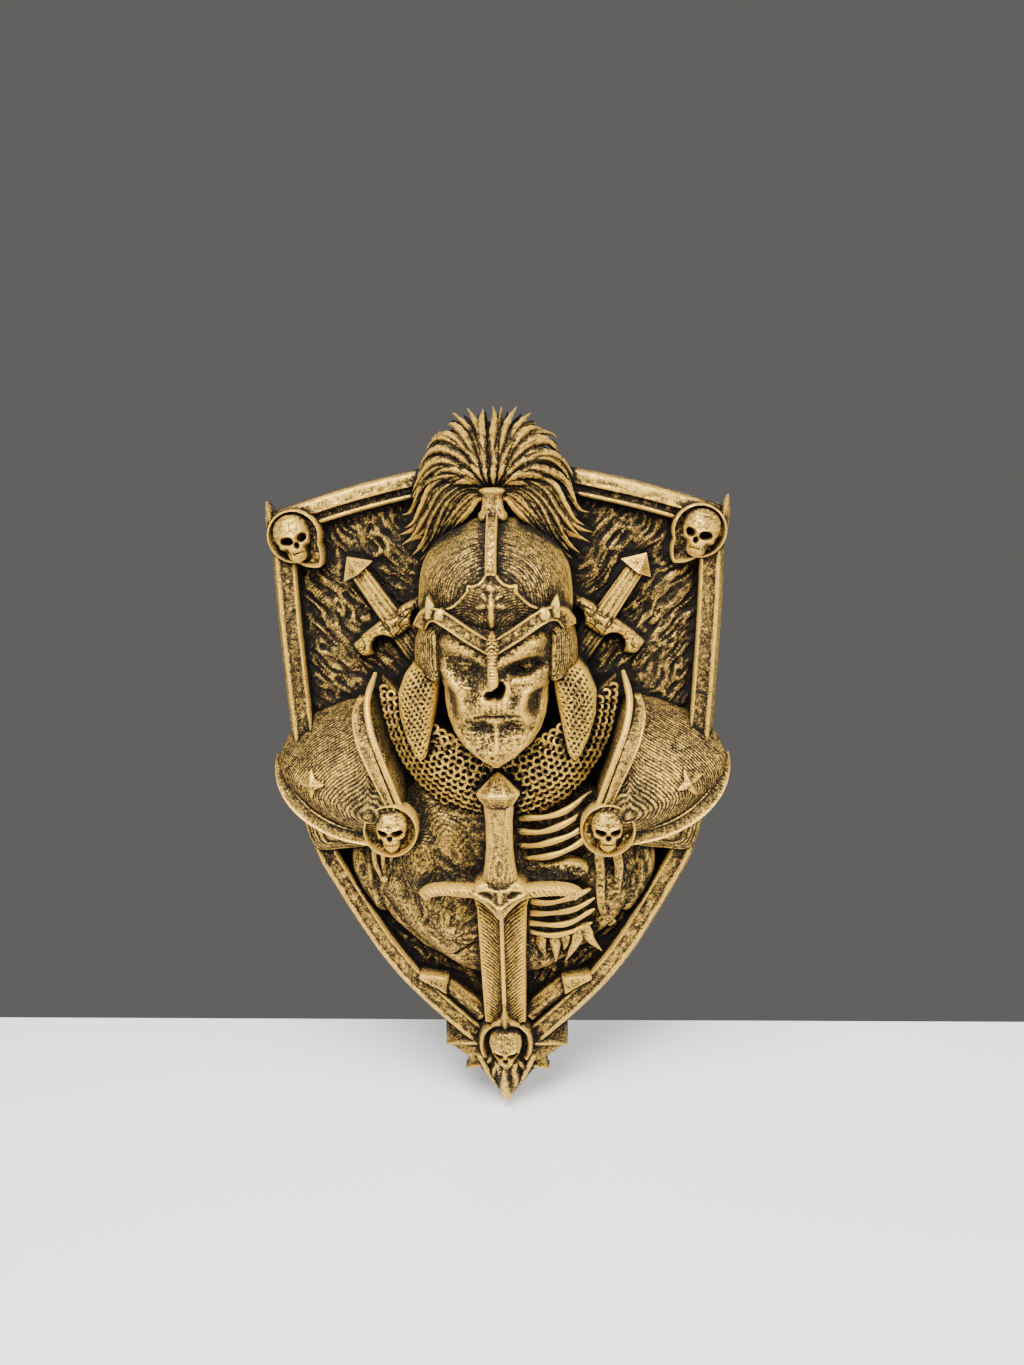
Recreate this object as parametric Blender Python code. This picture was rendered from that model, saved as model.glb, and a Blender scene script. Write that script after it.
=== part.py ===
"""Knight wall plaque: a relief cast in one piece, a heater shield that carries a skull-faced knight.

The plaque hangs upright. X runs to the viewer's right, Z up, and the wall is the plane Y = 0.
Sizes are in millimetres; "height" is the distance that a surface stands out from the wall, towards -Y.
The origin is on the flat back, which is the mounting face. Every form is a closed mesh, and one
Boolean union joins them to the shield.
"""

import math

import bmesh
import bpy
from mathutils import Vector

MM = 0.001

# Overall places, as heights above or below the mounting point
TIP_Z = -119.0
PLUME_ROOT_Z = 77.0
SHIELD_HALF_WIDTH = 65.2
PLATE_HEIGHT = 4.5
FRAME_HEIGHT = 8.8

# Right half of the shield's outline, from the hidden middle of the top edge to the foot
SHIELD_EDGE = [
    (0, 86), (20, 82.3), (40, 78.4), (55, 74.8), (64.4, 72.2), (SHIELD_HALF_WIDTH, 62), (65.1, 45),
    (64.2, 25), (63.0, 5), (61.4, -15), (58, -33), (52.2, -45), (46.4, -55.6), (40.4, -65.6),
    (33.6, -75), (27, -82.4), (20, -89.4), (11, -97.6), (0, -106),
]
# Steps of the frame, from the outer edge inwards: (how far in, how far up)
FRAME_STEPS = [(2.3, 3.3), (0.8, 0.0), (0.3, -1.2), (2.7, -0.2), (0.2, 0.9), (0.8, 0.0), (0.5, -4.1)]
FRAME_START = 5.8

GOLD = (0.43, 0.29, 0.11, 1.0)

# Head: outlines are right halves, from the top middle to the bottom middle
HELMET_OUTLINE = [(0, 70.6), (7.6, 69.2), (14.6, 64.6), (19.2, 57.4), (20.8, 48), (20.6, 40), (18, 34.6), (0, 33)]
HELMET_CENTRE = (0.0, 47.0)
HELMET_RIM = 14.0
HELMET_CROWN = 21.8
FACE_OUTLINE = [
    (9, 44), (14.6, 41), (16, 36), (16.2, 31), (15.4, 26), (14.0, 21), (13.4, 15), (11.4, 9.4),
    (8.0, 4.8), (4.4, 1.4), (2.0, 0),
]
FACE_RIM = 19.0
# The face's middle line from brow to chin, as (height, z)
FACE_PROFILE = [(30, 44), (33.4, 38), (33.2, 30), (34.4, 25), (33.4, 20), (33.8, 16), (32.4, 11), (33.4, 6), (29, 0)]
# Mounds and hollows of the face: (x, z, half-width, half-height, rise), on both sides and in the middle
FACE_MOUNDS = [
    (7.4, 35.4, 5.0, 1.6, 2.0), (10.8, 26.6, 3.6, 1.6, 2.6), (10.8, 20.4, 2.8, 3.6, -4.4),
    (5.2, 12.6, 2.6, 1.5, -1.4), (9.6, 9.8, 2.6, 3.0, 1.0),
]
FACE_MIDDLE_MOUNDS = [
    (-7.6, 30.2, 3.3, 2.0, -4.2), (7.4, 30.2, 3.5, 2.7, -7.4), (0, 28.4, 1.8, 4.2, 2.2), (-0.6, 22.6, 2.5, 1.9, -6.0),
    (0, 18.6, 6.0, 1.3, 1.5), (-0.8, 16.2, 7.6, 0.8, -2.4), (0, 14.4, 4.6, 0.9, 1.2), (0, 5.0, 3.6, 3.0, 1.4),
]

# Small skulls, in units of the cranium's radius: right outline, middle line and features
SKULL_OUTLINE = [
    (0.3, 1.22), (0.7, 1.04), (0.95, 0.68), (1.0, 0.2), (0.88, -0.24), (0.62, -0.66), (0.5, -1.1), (0.24, -1.34),
]
SKULL_PROFILE = [(0.3, 1.22), (0.74, 0.8), (0.92, 0.2), (0.8, -0.4), (0.78, -0.95), (0.4, -1.34)]
SKULL_FEATURES = [
    (-0.42, -0.04, 0.25, 0.24, -0.75), (0.42, -0.04, 0.25, 0.24, -0.75), (0, -0.5, 0.14, 0.16, -0.5),
    (-0.74, -0.4, 0.2, 0.14, 0.14), (0.74, -0.4, 0.2, 0.14, 0.14), (0, -0.84, 0.5, 0.08, -0.16),
]
CHEEK_GUARD = [
    (19.4, 44.5), (22.6, 42), (23.6, 35), (22.8, 29.5), (20.4, 26), (18.0, 25.6), (16.8, 28),
    (16.4, 36), (16.6, 43),
]
MAIL_FLAP = [
    (20, 29.5), (23.2, 30), (26.8, 24), (29.4, 17), (29.0, 11), (26.4, 5), (24, 1.2), (22.0, 0.0),
    (20.4, 2.6), (19.0, 12), (17.4, 25),
]

# Right pauldron
PAULDRON_DOME = [
    (37.2, 25), (42, 19.6), (49, 16.2), (56, 11), (62, 4), (66.0, -4), (63.6, -9.5), (57, -15.4),
    (49, -19.2), (40, -21.4), (31, -20.8), (28.8, -13), (32.2, -2), (35.2, 9), (36.6, 18),
]
PAULDRON_CENTRE = (47.0, -1.0)
PAULDRON_RIM_PATH = [
    (36.4, 27, 8), (37.1, 19, 16), (36.0, 11, 20.4), (33.9, 3, 22.4), (31.2, -6, 23), (28.4, -14.4, 22),
]
PAULDRON_BAND_PATH = [
    (66.6, -5.0, 6.5), (64.6, -10.4, 10.5), (60.4, -15.0, 14), (54, -19.2, 17), (46.4, -22.1, 19), (38, -23.6, 20.5),
]
PAULDRON_LAME = [
    (63, -11), (60.6, -21), (56.9, -31.2), (48, -31.0), (39, -29.8), (33, -26), (36, -21), (50, -17),
]
PAULDRON_MEDALLION = (31.6, -21.4)
CORNER_MEDALLION = (57.8, 63.8)
STAR_CENTRE = (55.6, -7.8)

# Coif: each row of mail is a U round the neck, given by its half-width, top, bottom and height
MAIL_ROWS = [(33.0, 21, -18.8, 11.4), (28.6, 15, -14.6, 14.2), (24.0, 9, -10.4, 16.4)]

MAIL_ROW_RADIUS = 1.7

# Main sword, along X = 0
POMMEL_Z = (-4.4, -12.6)
GRIP_PROFILE = [(-11.5, 3.6), (-14.5, 4.4), (-19, 3.9), (-27, 3.8), (-33, 4.7), (-37.5, 4.9)]
SWORD_HEIGHT = 20.0
GUARD_PATH = [(0, -39.4, 26), (8, -39.0, 25.6), (16, -39.2, 24), (21, -40.0, 22.4), (23.4, -41.2, 21.2)]
BLADE_TOP_Z = -39.0
BLADE_FOOT_Z = -88.0
BLADE_HALF_WIDTH = 7.3

# Crossed swords behind the head, right side
BACK_SWORD_POMMEL = (41.6, 55.8)
BACK_SWORD_GUARD = (30.4, 41.0)

RIBS = [
    [(4, -20.4, 12), (12, -19.6, 15), (20, -16.6, 15), (26, -13, 12)],
    [(4, -25.6, 12), (12, -24.8, 15.5), (20, -21.8, 15.5), (26, -18, 12)],
    [(5, -31.6, 11), (13, -29.6, 15), (20, -26.6, 15.5), (26, -23.4, 12)],
    [(16, -34.0, 12), (21, -33.0, 13.2), (27.4, -30.2, 10.5)],
    [(6, -42.4, 11), (14, -42.8, 14), (21, -40.8, 14.5), (28, -36.4, 12)],
    [(6, -46.6, 11), (14, -47.0, 13.5), (21, -45.2, 14), (28, -40.8, 11.5)],
    [(6, -50.8, 10.5), (14, -51.2, 13), (21, -49.6, 13.5), (28, -45.4, 11)],
    [(6, -54.8, 10), (14, -55.2, 12), (21, -53.8, 12.5), (28, -50.0, 10)],
]
RIB_RADIUS = 1.35
STRAPS = [
    [(29.6, -29, 15), (30.4, -38, 14), (30.0, -47, 11.5), (30.6, -56, 8)],
    [(34.2, -29, 14), (35.6, -38, 13), (34.6, -47, 10.5), (32.8, -55, 8)],
    [(16.0, -55, 9), (16.4, -63, 6)],
    [(22.6, -55, 9), (19.4, -63, 6)],
    [(25.0, -54, 9.5), (29.0, -61, 6)],
]

TORSO = [
    (0, -10), (26, -12), (40, -26), (43, -36), (40.5, -46), (34.5, -55), (26, -63), (14, -70), (0, -74),
]
FINIAL_OUTLINE = [
    (0, -82), (9, -87), (19.4, -89.4), (19.6, -97.0), (12.6, -101.2), (12.6, -106.2), (8.6, -106.8), (0, TIP_Z),
]
HOOD_OUTLINE = [(0, -83.2), (1.5, -87), (5.4, -90.4), (8.6, -94), (9.6, -98.6), (7.6, -104), (3.6, -110), (0, -113.6)]


def collection(name):
    """A new collection of the scene."""
    made = bpy.data.collections.new(name)
    bpy.context.scene.collection.children.link(made)
    return made


def gold_paint():
    """Antique gold paint over dark plastic."""
    material = bpy.data.materials.new("antique_gold")
    material.use_nodes = True
    shader = material.node_tree.nodes["Principled BSDF"]
    shader.inputs["Base Color"].default_value = GOLD
    shader.inputs["Metallic"].default_value = 0.6
    shader.inputs["Roughness"].default_value = 0.48
    return material


def at(x, z, height):
    """The point in metres of a place on the plaque in millimetres."""
    return Vector((x * MM, -height * MM, z * MM))


class Feet:
    """Hands out the height at which each form's back lies inside the plate, no two of them alike."""

    def __init__(self, first, step):
        self.next = first
        self.step = step

    def take(self):
        self.next += self.step
        return self.next


FEET = Feet(first=1.0, step=0.021)


def store(name, bm, target):
    """Closes off a bmesh as a helper object of the collection, its faces pointing out."""
    bmesh.ops.remove_doubles(bm, verts=bm.verts, dist=1e-6)
    bmesh.ops.recalc_face_normals(bm, faces=bm.faces)
    mesh = bpy.data.meshes.new(name)
    bm.to_mesh(mesh)
    bm.free()
    made = bpy.data.objects.new(name, mesh)
    made.hide_render = True
    made.display_type = "WIRE"
    target.objects.link(made)
    return made


def both_halves(right_half):
    """A closed outline from its right half, which starts and ends on the middle line."""
    return right_half + [(-x, z) for x, z in reversed(right_half[1:-1])]


def on_side(points, side):
    """The points on the right side (1) or mirrored to the left (-1)."""
    return [(point[0] * side, *point[1:]) for point in points]


def smooth(points, steps, closed=False):
    """Points on a smooth curve through the given ones."""
    count = len(points)
    spans = count if closed else count - 1
    curve = []
    for i in range(spans):
        if closed:
            p0, p1, p2, p3 = (points[(i + k) % count] for k in (-1, 0, 1, 2))
        else:
            p0, p1, p2, p3 = (points[min(max(i + k, 0), count - 1)] for k in (-1, 0, 1, 2))
        for step in range(steps):
            t = step / steps
            curve.append(tuple(
                0.5 * (2 * b + (c - a) * t + (2 * a - 5 * b + 4 * c - d) * t**2 + (3 * b - a - 3 * c + d) * t**3)
                for a, b, c, d in zip(p0, p1, p2, p3)
            ))
    if not closed:
        curve.append(tuple(points[-1]))
    return curve


def reach(outline, centre, angle):
    """How far the outline is from the centre in that direction."""
    direction = (math.cos(angle), math.sin(angle))
    best = 0.0
    for (x1, z1), (x2, z2) in zip(outline, outline[1:] + outline[:1]):
        ex, ez = x2 - x1, z2 - z1
        across = direction[0] * ez - direction[1] * ex
        if abs(across) < 1e-12:
            continue
        dx, dz = x1 - centre[0], z1 - centre[1]
        along = (dx * ez - dz * ex) / across
        share = (dx * direction[1] - dz * direction[0]) / across
        if along > 0 and -1e-9 <= share <= 1 + 1e-9:
            best = max(best, along)
    return best


def mound(x, z, brush):
    """The rise at a point from a soft round brush."""
    bx, bz, half_width, half_height, rise = brush
    return rise * math.exp(-(((x - bx) / half_width) ** 2) - ((z - bz) / half_height) ** 2)


def down_to(bm, foot):
    """Drops a wall from the open edge of a front surface to the foot and closes the back."""
    edges = [edge for edge in bm.edges if edge.is_boundary]
    wall = bmesh.ops.extrude_edge_only(bm, edges=edges)["geom"]
    for vert in (item for item in wall if isinstance(item, bmesh.types.BMVert)):
        vert.co.y = -foot * MM
    bmesh.ops.holes_fill(bm, edges=[edge for edge in bm.edges if edge.is_boundary], sides=0)


def dome(name, target, outline, centre, rim, crown, segments, rings, brushes=(), foot=None, squareness=1.0):
    """A crowned form of any outline: half a sphere stretched to it, with mounds and hollows."""
    bm = bmesh.new()
    bmesh.ops.create_uvsphere(bm, u_segments=segments, v_segments=2 * rings, radius=1.0)
    back = [vert for vert in bm.verts if vert.co.z < -1e-4]
    bmesh.ops.delete(bm, geom=back, context="VERTS")
    for vert in bm.verts:
        share = min(1.0, math.hypot(vert.co.x, vert.co.y))
        angle = math.atan2(vert.co.y, vert.co.x)
        span = reach(outline, centre, angle) * share
        x = centre[0] + span * math.cos(angle)
        z = centre[1] + span * math.sin(angle)
        height = rim + crown * max(0.0, vert.co.z) ** squareness
        height += (1 - share**4) * sum(mound(x, z, brush) for brush in brushes)
        vert.co = at(x, z, height)
    down_to(bm, FEET.take() if foot is None else foot)
    return store(name, bm, target)


def slab(name, target, outline, base, height, steps=()):
    """A flat form of any outline, with steps cut or raised inside its edge: (how far in, how far up)."""
    bm = bmesh.new()
    bottom = bm.faces.new([bm.verts.new(at(x, z, base)) for x, z in outline])
    grown = bmesh.ops.extrude_face_region(bm, geom=[bottom])["geom"]
    top = next(item for item in grown if isinstance(item, bmesh.types.BMFace))
    bmesh.ops.translate(bm, verts=list(top.verts), vec=(0, (base - height) * MM, 0))
    bmesh.ops.recalc_face_normals(bm, faces=bm.faces)
    for inward, upward in steps:
        bmesh.ops.inset_region(
            bm, faces=[top], thickness=inward * MM, depth=upward * MM, use_even_offset=True, use_boundary=True
        )
    return store(name, bm, target)


def ribbon(name, target, path, section, foot=None):
    """A band along a path of (x, z, height): section gives (sideways, up) across it. Its back drops to the foot."""
    bm = bmesh.new()
    columns = len(section)
    bmesh.ops.create_grid(bm, x_segments=len(path) - 1, y_segments=columns - 1, size=1.0)
    points = [Vector(point) for point in path]
    for vert in bm.verts:
        i = round((vert.co.x + 1) / 2 * (len(path) - 1))
        j = round((vert.co.y + 1) / 2 * (columns - 1))
        before, after = points[max(i - 1, 0)], points[min(i + 1, len(path) - 1)]
        run = Vector((after.x - before.x, after.y - before.y)).normalized()
        sideways, up = section[j]
        here = points[i]
        vert.co = at(here.x - run.y * sideways, here.y + run.x * sideways, here.z + up)
    down_to(bm, FEET.take() if foot is None else foot)
    return store(name, bm, target)


def rod(name, target, path, radii, resolution=0):
    """A tapering bar along a path of (x, z, height), swept as a curve and stored as a mesh."""
    curve = bpy.data.curves.new(name + "_line", "CURVE")
    curve.dimensions = "3D"
    curve.bevel_depth = MM
    curve.bevel_resolution = resolution
    curve.use_fill_caps = True
    spline = curve.splines.new("POLY")
    spline.points.add(len(path) - 1)
    for point, place, radius in zip(spline.points, path, radii):
        point.co = (*at(*place), 1.0)
        point.radius = radius
    guide = bpy.data.objects.new(name + "_line", curve)
    bpy.context.scene.collection.objects.link(guide)
    graph = bpy.context.evaluated_depsgraph_get()
    mesh = bpy.data.meshes.new_from_object(guide.evaluated_get(graph))
    bpy.data.objects.remove(guide)
    bm = bmesh.new()
    bm.from_mesh(mesh)
    bpy.data.meshes.remove(mesh)
    return store(name, bm, target)


def value_at(curve, z):
    """The value at z of a curve given as (value, z), from the highest z down."""
    for (high_value, high), (low_value, low) in zip(curve, curve[1:]):
        if z >= low:
            share = min(1.0, max(0.0, (high - z) / (high - low)))
            return high_value + (low_value - high_value) * share
    return curve[-1][0]


def mask(name, target, outline, rim, profile, brushes, columns, rows, place=lambda x, z: (x, z), foot=None):
    """A face or skull on a grid of rows and columns. place takes its own (x, z) to the plaque's."""
    top, bottom = outline[0][1], outline[-1][1]
    bm = bmesh.new()
    bmesh.ops.create_grid(bm, x_segments=columns, y_segments=rows, size=1.0)
    for vert in bm.verts:
        u = vert.co.x * (1.2 - 0.2 * vert.co.x**2)
        z = (top + bottom) / 2 + vert.co.y * (top - bottom) / 2
        x = u * value_at(outline, z)
        height = rim + (value_at(profile, z) - rim) * (1 - abs(u) ** 2.6) ** 0.6
        height += (1 - u**6) * sum(mound(x, z, brush) for brush in brushes)
        vert.co = at(*place(x, z), height)
    down_to(bm, FEET.take() if foot is None else foot)
    return store(name, bm, target)


def skull(name, target, centre, base, size, lean=0.0, foot=None):
    """A small skull on a disc: size is its cranium's radius, lean turns the jaw sideways in degrees."""
    turn = math.radians(lean)

    def place(x, z):
        return (
            centre[0] + x * math.cos(turn) - z * math.sin(turn),
            centre[1] + x * math.sin(turn) + z * math.cos(turn),
        )

    outline = [(x * size, z * size) for x, z in SKULL_OUTLINE]
    profile = [(base + rise * size, z * size) for rise, z in SKULL_PROFILE]
    brushes = [tuple(value * size for value in feature) for feature in SKULL_FEATURES]
    return mask(name, target, outline, base, profile, brushes, 8, 7, place, foot)


def shield(target):
    """The plate with its raised frame. Every other form joins it."""
    outline = both_halves(smooth(SHIELD_EDGE, 1))
    plate = slab("knight_plaque", target, outline, 0.0, FRAME_START, FRAME_STEPS)
    plate.hide_render = False
    plate.display_type = "TEXTURED"
    plate.data.materials.append(gold_paint())
    return plate


def medallion(name, target, centre, radius, base, side, point_angle=None, lean=0.0):
    """A round boss with a sunk field and a skull on it; point_angle draws one side out to a point."""
    outline = []
    for i in range(16):
        angle = 2 * math.pi * i / 16
        away = 0.0
        if point_angle is not None:
            turn = (angle - math.radians(point_angle) + math.pi) % (2 * math.pi) - math.pi
            away = 2.6 * max(0.0, 1 - abs(turn) / 0.6)
        outline.append((centre[0] + (radius + away) * math.cos(angle), centre[1] + (radius + away) * math.sin(angle)))
    slab(name, target, outline, FEET.take(), base, [(1.0, 0.3), (0.3, -1.0)])
    skull(name + "_skull", target, (centre[0], centre[1] + 0.4), base - 0.9, radius * 0.62, lean * side, foot=base - 6)


def corner(target, side, label):
    """A horn at the shield's shoulder and the skull medallion below it."""
    horn = on_side([(61.4, 66), (62.4, 70.6), (66.4, 75.2), (66.8, 66), (65.8, 58), (63, 57)], side)
    slab("horn_" + label, target, horn, FEET.take(), 7.4, [(1.2, 1.6)])
    centre = (CORNER_MEDALLION[0] * side, CORNER_MEDALLION[1])
    point = 234 if side > 0 else 306
    medallion("corner_medallion_" + label, target, centre, 7.5, 11.0, side, point, lean=-12)


def back_sword(target, side, label):
    """One of the crossed swords behind the head: pommel, grip, guard and the start of the blade."""
    px, pz = BACK_SWORD_POMMEL
    gx, gz = BACK_SWORD_GUARD
    run = Vector((gx - px, gz - pz)).normalized()
    cross = Vector((-run.y, run.x))

    def place(along, across):
        return ((gx + run.x * along + cross.x * across) * side, gz + run.y * along + cross.y * across)

    pommel = [place(-21.5, -1.8), place(-21.5, 1.8), place(-17.6, 4.0), place(-15.2, 1.4), place(-15.2, -1.4), place(-17.6, -4.0)]
    slab("back_pommel_" + label, target, pommel, FEET.take(), 7.2, [(1.5, 2.6)])
    grip = [(*place(along, 0), 8.2) for along in (-17, -8, 1)]
    rod("back_grip_" + label, target, grip, [2.0, 2.2, 2.4])
    arms = [(-14.4, 4.6), (-12.0, 1.6), (-7, -0.6), (0, -0.6), (7, -0.6), (12.0, 1.6), (14.4, 4.6)]
    path = [(*place(along, across), 9.0) for across, along in arms]
    ribbon("back_guard_" + label, target, path, [(-1.5, -0.9), (0, 1.1), (1.5, -0.9)])
    blade = [(*place(along, 0), 7.0) for along in (0, 10, 24)]
    ribbon("back_blade_" + label, target, blade, [(-3.2, -1.0), (-2.4, 0.2), (0, 1.3), (2.4, 0.2), (3.2, -1.0)])


def pauldron(target, side, label):
    """Shoulder armour: the dome, its rolled rim, the lower band and lame, a star and a skull medallion."""
    dome_outline = smooth(on_side(PAULDRON_DOME, side), 2, closed=True)
    centre = (PAULDRON_CENTRE[0] * side, PAULDRON_CENTRE[1])
    slope = [(31 * side, -16, 11, 9, 9.0), (36 * side, 6, 8, 16, 7.0), (47 * side, 2, 12, 12, 2.5)]
    dome("pauldron_" + label, target, dome_outline, centre, 6.0, 14.5, 22, 4, slope, squareness=0.8)
    rim = on_side(PAULDRON_RIM_PATH, side)
    ribbon("pauldron_rim_" + label, target, rim, [(-1.1, -1.2), (-0.6, 0.4), (0.6, 0.4), (1.1, -1.2)])
    band = on_side(PAULDRON_BAND_PATH, side)
    ribbon(
        "pauldron_band_" + label, target, band,
        [(-2.1, -1.6), (-1.6, 0.7), (0.0, 0.1), (1.6, 0.7), (2.1, -1.6)],
    )
    lame = smooth(on_side(PAULDRON_LAME, side), 2, closed=True)
    dome("pauldron_lame_" + label, target, lame, (48 * side, -24), 8.0, 4.5, 18, 2, squareness=0.6)
    sx, sz = STAR_CENTRE
    star = [
        (
            sx * side + (3.2 if i % 2 == 0 else 1.1) * math.cos(math.radians(45 * i + 12)),
            sz + (3.2 if i % 2 == 0 else 1.1) * math.sin(math.radians(45 * i + 12)),
        )
        for i in range(8)
    ]
    dome("pauldron_star_" + label, target, star, (sx * side, sz), 19.0, 2.0, 8, 1, foot=12.0)
    centre = (PAULDRON_MEDALLION[0] * side, PAULDRON_MEDALLION[1])
    medallion("shoulder_medallion_" + label, target, centre, 7.9, 24.0, side)


def torso(target):
    """The chest: a draped left half, an arm stump on each side, and bared ribs with torn straps on the right."""
    outline = smooth(both_halves(TORSO), 1, closed=True)
    folds = [(-22, -30, 8, 9, 3.0), (-14, -48, 9, 9, 1.6), (17, -32, 11, 22, -3.0)]
    dome("torso", target, outline, (0, -42), 5.4, 10.0, 20, 4, folds)
    for side, label in ((-1, "left"), (1, "right")):
        stump = on_side([(38, -26), (45, -30), (46.4, -38), (43.4, -46), (38.4, -52.6), (35, -50), (34, -38)], side)
        dome("arm_" + label, target, smooth(stump, 2, closed=True), (40 * side, -39), 6.6, 3.8, 12, 2)
    for number, rib in enumerate(RIBS, 1):
        rod(f"rib_{number}", target, rib, [RIB_RADIUS] * (len(rib) - 1) + [RIB_RADIUS * 0.7])
    for number, strap in enumerate(STRAPS, 1):
        rod(f"torn_strap_{number}", target, strap, [1.15] * (len(strap) - 1) + [0.5])


def coif(target):
    """The mail collar: a bedding form and rows of mail round the neck."""
    bed = [(0, 20), (24, 26), (33, 20), (32, 6), (27, -4), (20, -12), (10, -17), (0, -18.6)]
    dome("coif_bed", target, smooth(both_halves(bed), 2, closed=True), (0, 2), 8.0, 9.0, 20, 3)
    for number, (half_width, top, bottom, height) in enumerate(MAIL_ROWS, 1):
        path = []
        for i in range(11):
            angle = math.pi * (1 + i / 10)
            across, down = math.cos(angle), max(0.0, -math.sin(angle))
            path.append((half_width * across, top - (top - bottom) * down**0.9, height + 1.6 * down))
        rod(f"mail_row_{number}", target, path, [MAIL_ROW_RADIUS] * len(path))


def head(target):
    """The face, helmet, cheek guards and mail flaps."""
    brushes = list(FACE_MIDDLE_MOUNDS)
    for side in (-1, 1):
        brushes += on_side(FACE_MOUNDS, side)
    mask("face", target, FACE_OUTLINE, FACE_RIM, FACE_PROFILE, brushes, columns=14, rows=16)
    bowl = smooth(both_halves(HELMET_OUTLINE), 2, closed=True)
    dome("helmet_bowl", target, bowl, HELMET_CENTRE, HELMET_RIM, HELMET_CROWN, 24, 6)
    for side, label in ((-1, "left"), (1, "right")):
        guard = smooth(on_side(CHEEK_GUARD, side), 2, closed=True)
        lean = [(16 * side, 36, 5, 14, 3.0)]
        dome("cheek_guard_" + label, target, guard, (19.8 * side, 35), 22.0, 4.6, 14, 2, lean, squareness=0.7)
        flap = smooth(on_side(MAIL_FLAP, side), 2, closed=True)
        dome("mail_flap_" + label, target, flap, (23.4 * side, 15), 20.0, 4.0, 16, 2, squareness=0.6)


def helmet_trim(target):
    """The brow band with its nose guard, the forehead plate, the crest and the plume holder."""
    section = [(-2.1, -2.0), (-1.6, 0.6), (0.0, 0.1), (1.6, 0.6), (2.1, -2.0)]
    for side, label in ((-1, "left"), (1, "right")):
        path = [(0, 35.6, 38.0), (7, 40.0, 37.4), (13.4, 43.6, 34.6), (17.0, 44.3, 31.0), (20.2, 43.0, 26.4), (22.0, 39.8, 22)]
        ribbon("brow_band_" + label, target, on_side(path, side), section)
    nose = [(-1.5, 35), (1.5, 35), (1.5, 25.6), (0.8, 24.6), (-0.8, 24.6), (-1.5, 25.6)]
    slab("nose_guard", target, nose, FEET.take(), 37.0, [(0.5, 0.9)])
    plate = [(0, 55), (2.6, 53.4), (6.6, 52.4), (7.2, 50.4), (11, 48.0), (14.6, 47.2), (18, 51), (18, 45), (12, 43), (0, 37)]
    outline = both_halves(plate)
    dome("forehead_plate", target, outline, (0, 46.6), 27.0, 10.2, 20, 3, squareness=0.75)
    crest = [(0, 53.5, 37.0), (0, 58, 36.0), (0, 62, 34.2), (0, 66, 31.2), (0, 69.2, 27.4), (0, 71.2, 23.0)]
    rail = [(-1.9, -1.6), (-1.5, 0.7), (0.0, 0.0), (1.5, 0.7), (1.9, -1.6)]
    ribbon("crest", target, crest, rail)
    holder = bmesh.new()
    profile = [(69.0, 4.2), (70.6, 3.6), (73.2, 2.7), (75.2, 3.3), (76.4, 4.0), (77.6, 3.8)]
    bmesh.ops.create_cone(
        holder, cap_ends=True, segments=12, radius1=profile[0][1] * MM, radius2=profile[1][1] * MM,
        depth=(profile[1][0] - profile[0][0]) * MM,
    )
    bmesh.ops.translate(holder, verts=holder.verts, vec=at(0, (profile[0][0] + profile[1][0]) / 2, 20))
    top = max(holder.faces, key=lambda face: face.calc_center_median().z)
    for (low, narrow), (high, wide) in zip(profile[1:], profile[2:]):
        grown = bmesh.ops.extrude_face_region(holder, geom=[top])["geom"]
        bmesh.ops.delete(holder, geom=[top], context="FACES_ONLY")
        top = next(item for item in grown if isinstance(item, bmesh.types.BMFace))
        bmesh.ops.translate(holder, verts=list(top.verts), vec=(0, 0, (high - low) * MM))
        for vert in top.verts:
            vert.co.x *= wide / narrow
            vert.co.y = -20 * MM + (vert.co.y + 20 * MM) * wide / narrow
    store("plume_holder", holder, target)


def plume_locks():
    """The plume's locks on the right side, each as (x, z, height) from the holder outwards."""
    locks = []
    # Upright locks of the fan, leaning further out each time
    for i, (angle, length) in enumerate([(90, 23.4), (80, 21.6), (71, 22.6), (62, 23.4), (53, 21.4)]):
        turn = math.radians(angle)
        bend = turn if i == 0 else math.radians(angle - 8)
        start = 1.5 if i == 0 else 3.2
        locks.append([
            (start * math.cos(turn), PLUME_ROOT_Z + start * math.sin(turn), 21.0 - 0.5 * i),
            (length * 0.55 * math.cos(turn), PLUME_ROOT_Z + length * 0.55 * math.sin(turn), 22.0 - 0.5 * i),
            (length * math.cos(bend), PLUME_ROOT_Z + length * math.sin(bend), 14.5 - 0.4 * i),
        ])
    # Arching locks, out to the side and over: (outermost x, z there, end x, end z)
    for x1, z1, x2, z2 in [(16.4, 90.2, 18.4, 86.4), (19.6, 86.8, 21.0, 82.0), (20.6, 82.6, 22.4, 77.0), (19.8, 79.4, 23.4, 72.6)]:
        locks.append([
            (3.0, PLUME_ROOT_Z + 1.0, 21.0), (x1 * 0.42, PLUME_ROOT_Z + (z1 - PLUME_ROOT_Z) * 0.8, 21.5),
            (x1 * 0.8, z1 + 0.7, 20), (x1 + 1.0, z1 - 1.4, 17), (x2, z2, 12),
        ])
    # Hanging locks beside the helmet: (bend x, z, end x, z)
    for x1, z1, x2, z2 in [(13.6, 77.6, 26.8, 62.4), (11.4, 76.0, 24.2, 59.4), (9.4, 74.4, 21.0, 60.6)]:
        locks.append([
            (3.0, PLUME_ROOT_Z - 0.6, 20.0), (x1, z1, 18.0), (x1 * 0.4 + x2 * 0.6, z1 * 0.5 + z2 * 0.5, 14.6), (x2, z2, 9),
        ])
    return locks


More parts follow.
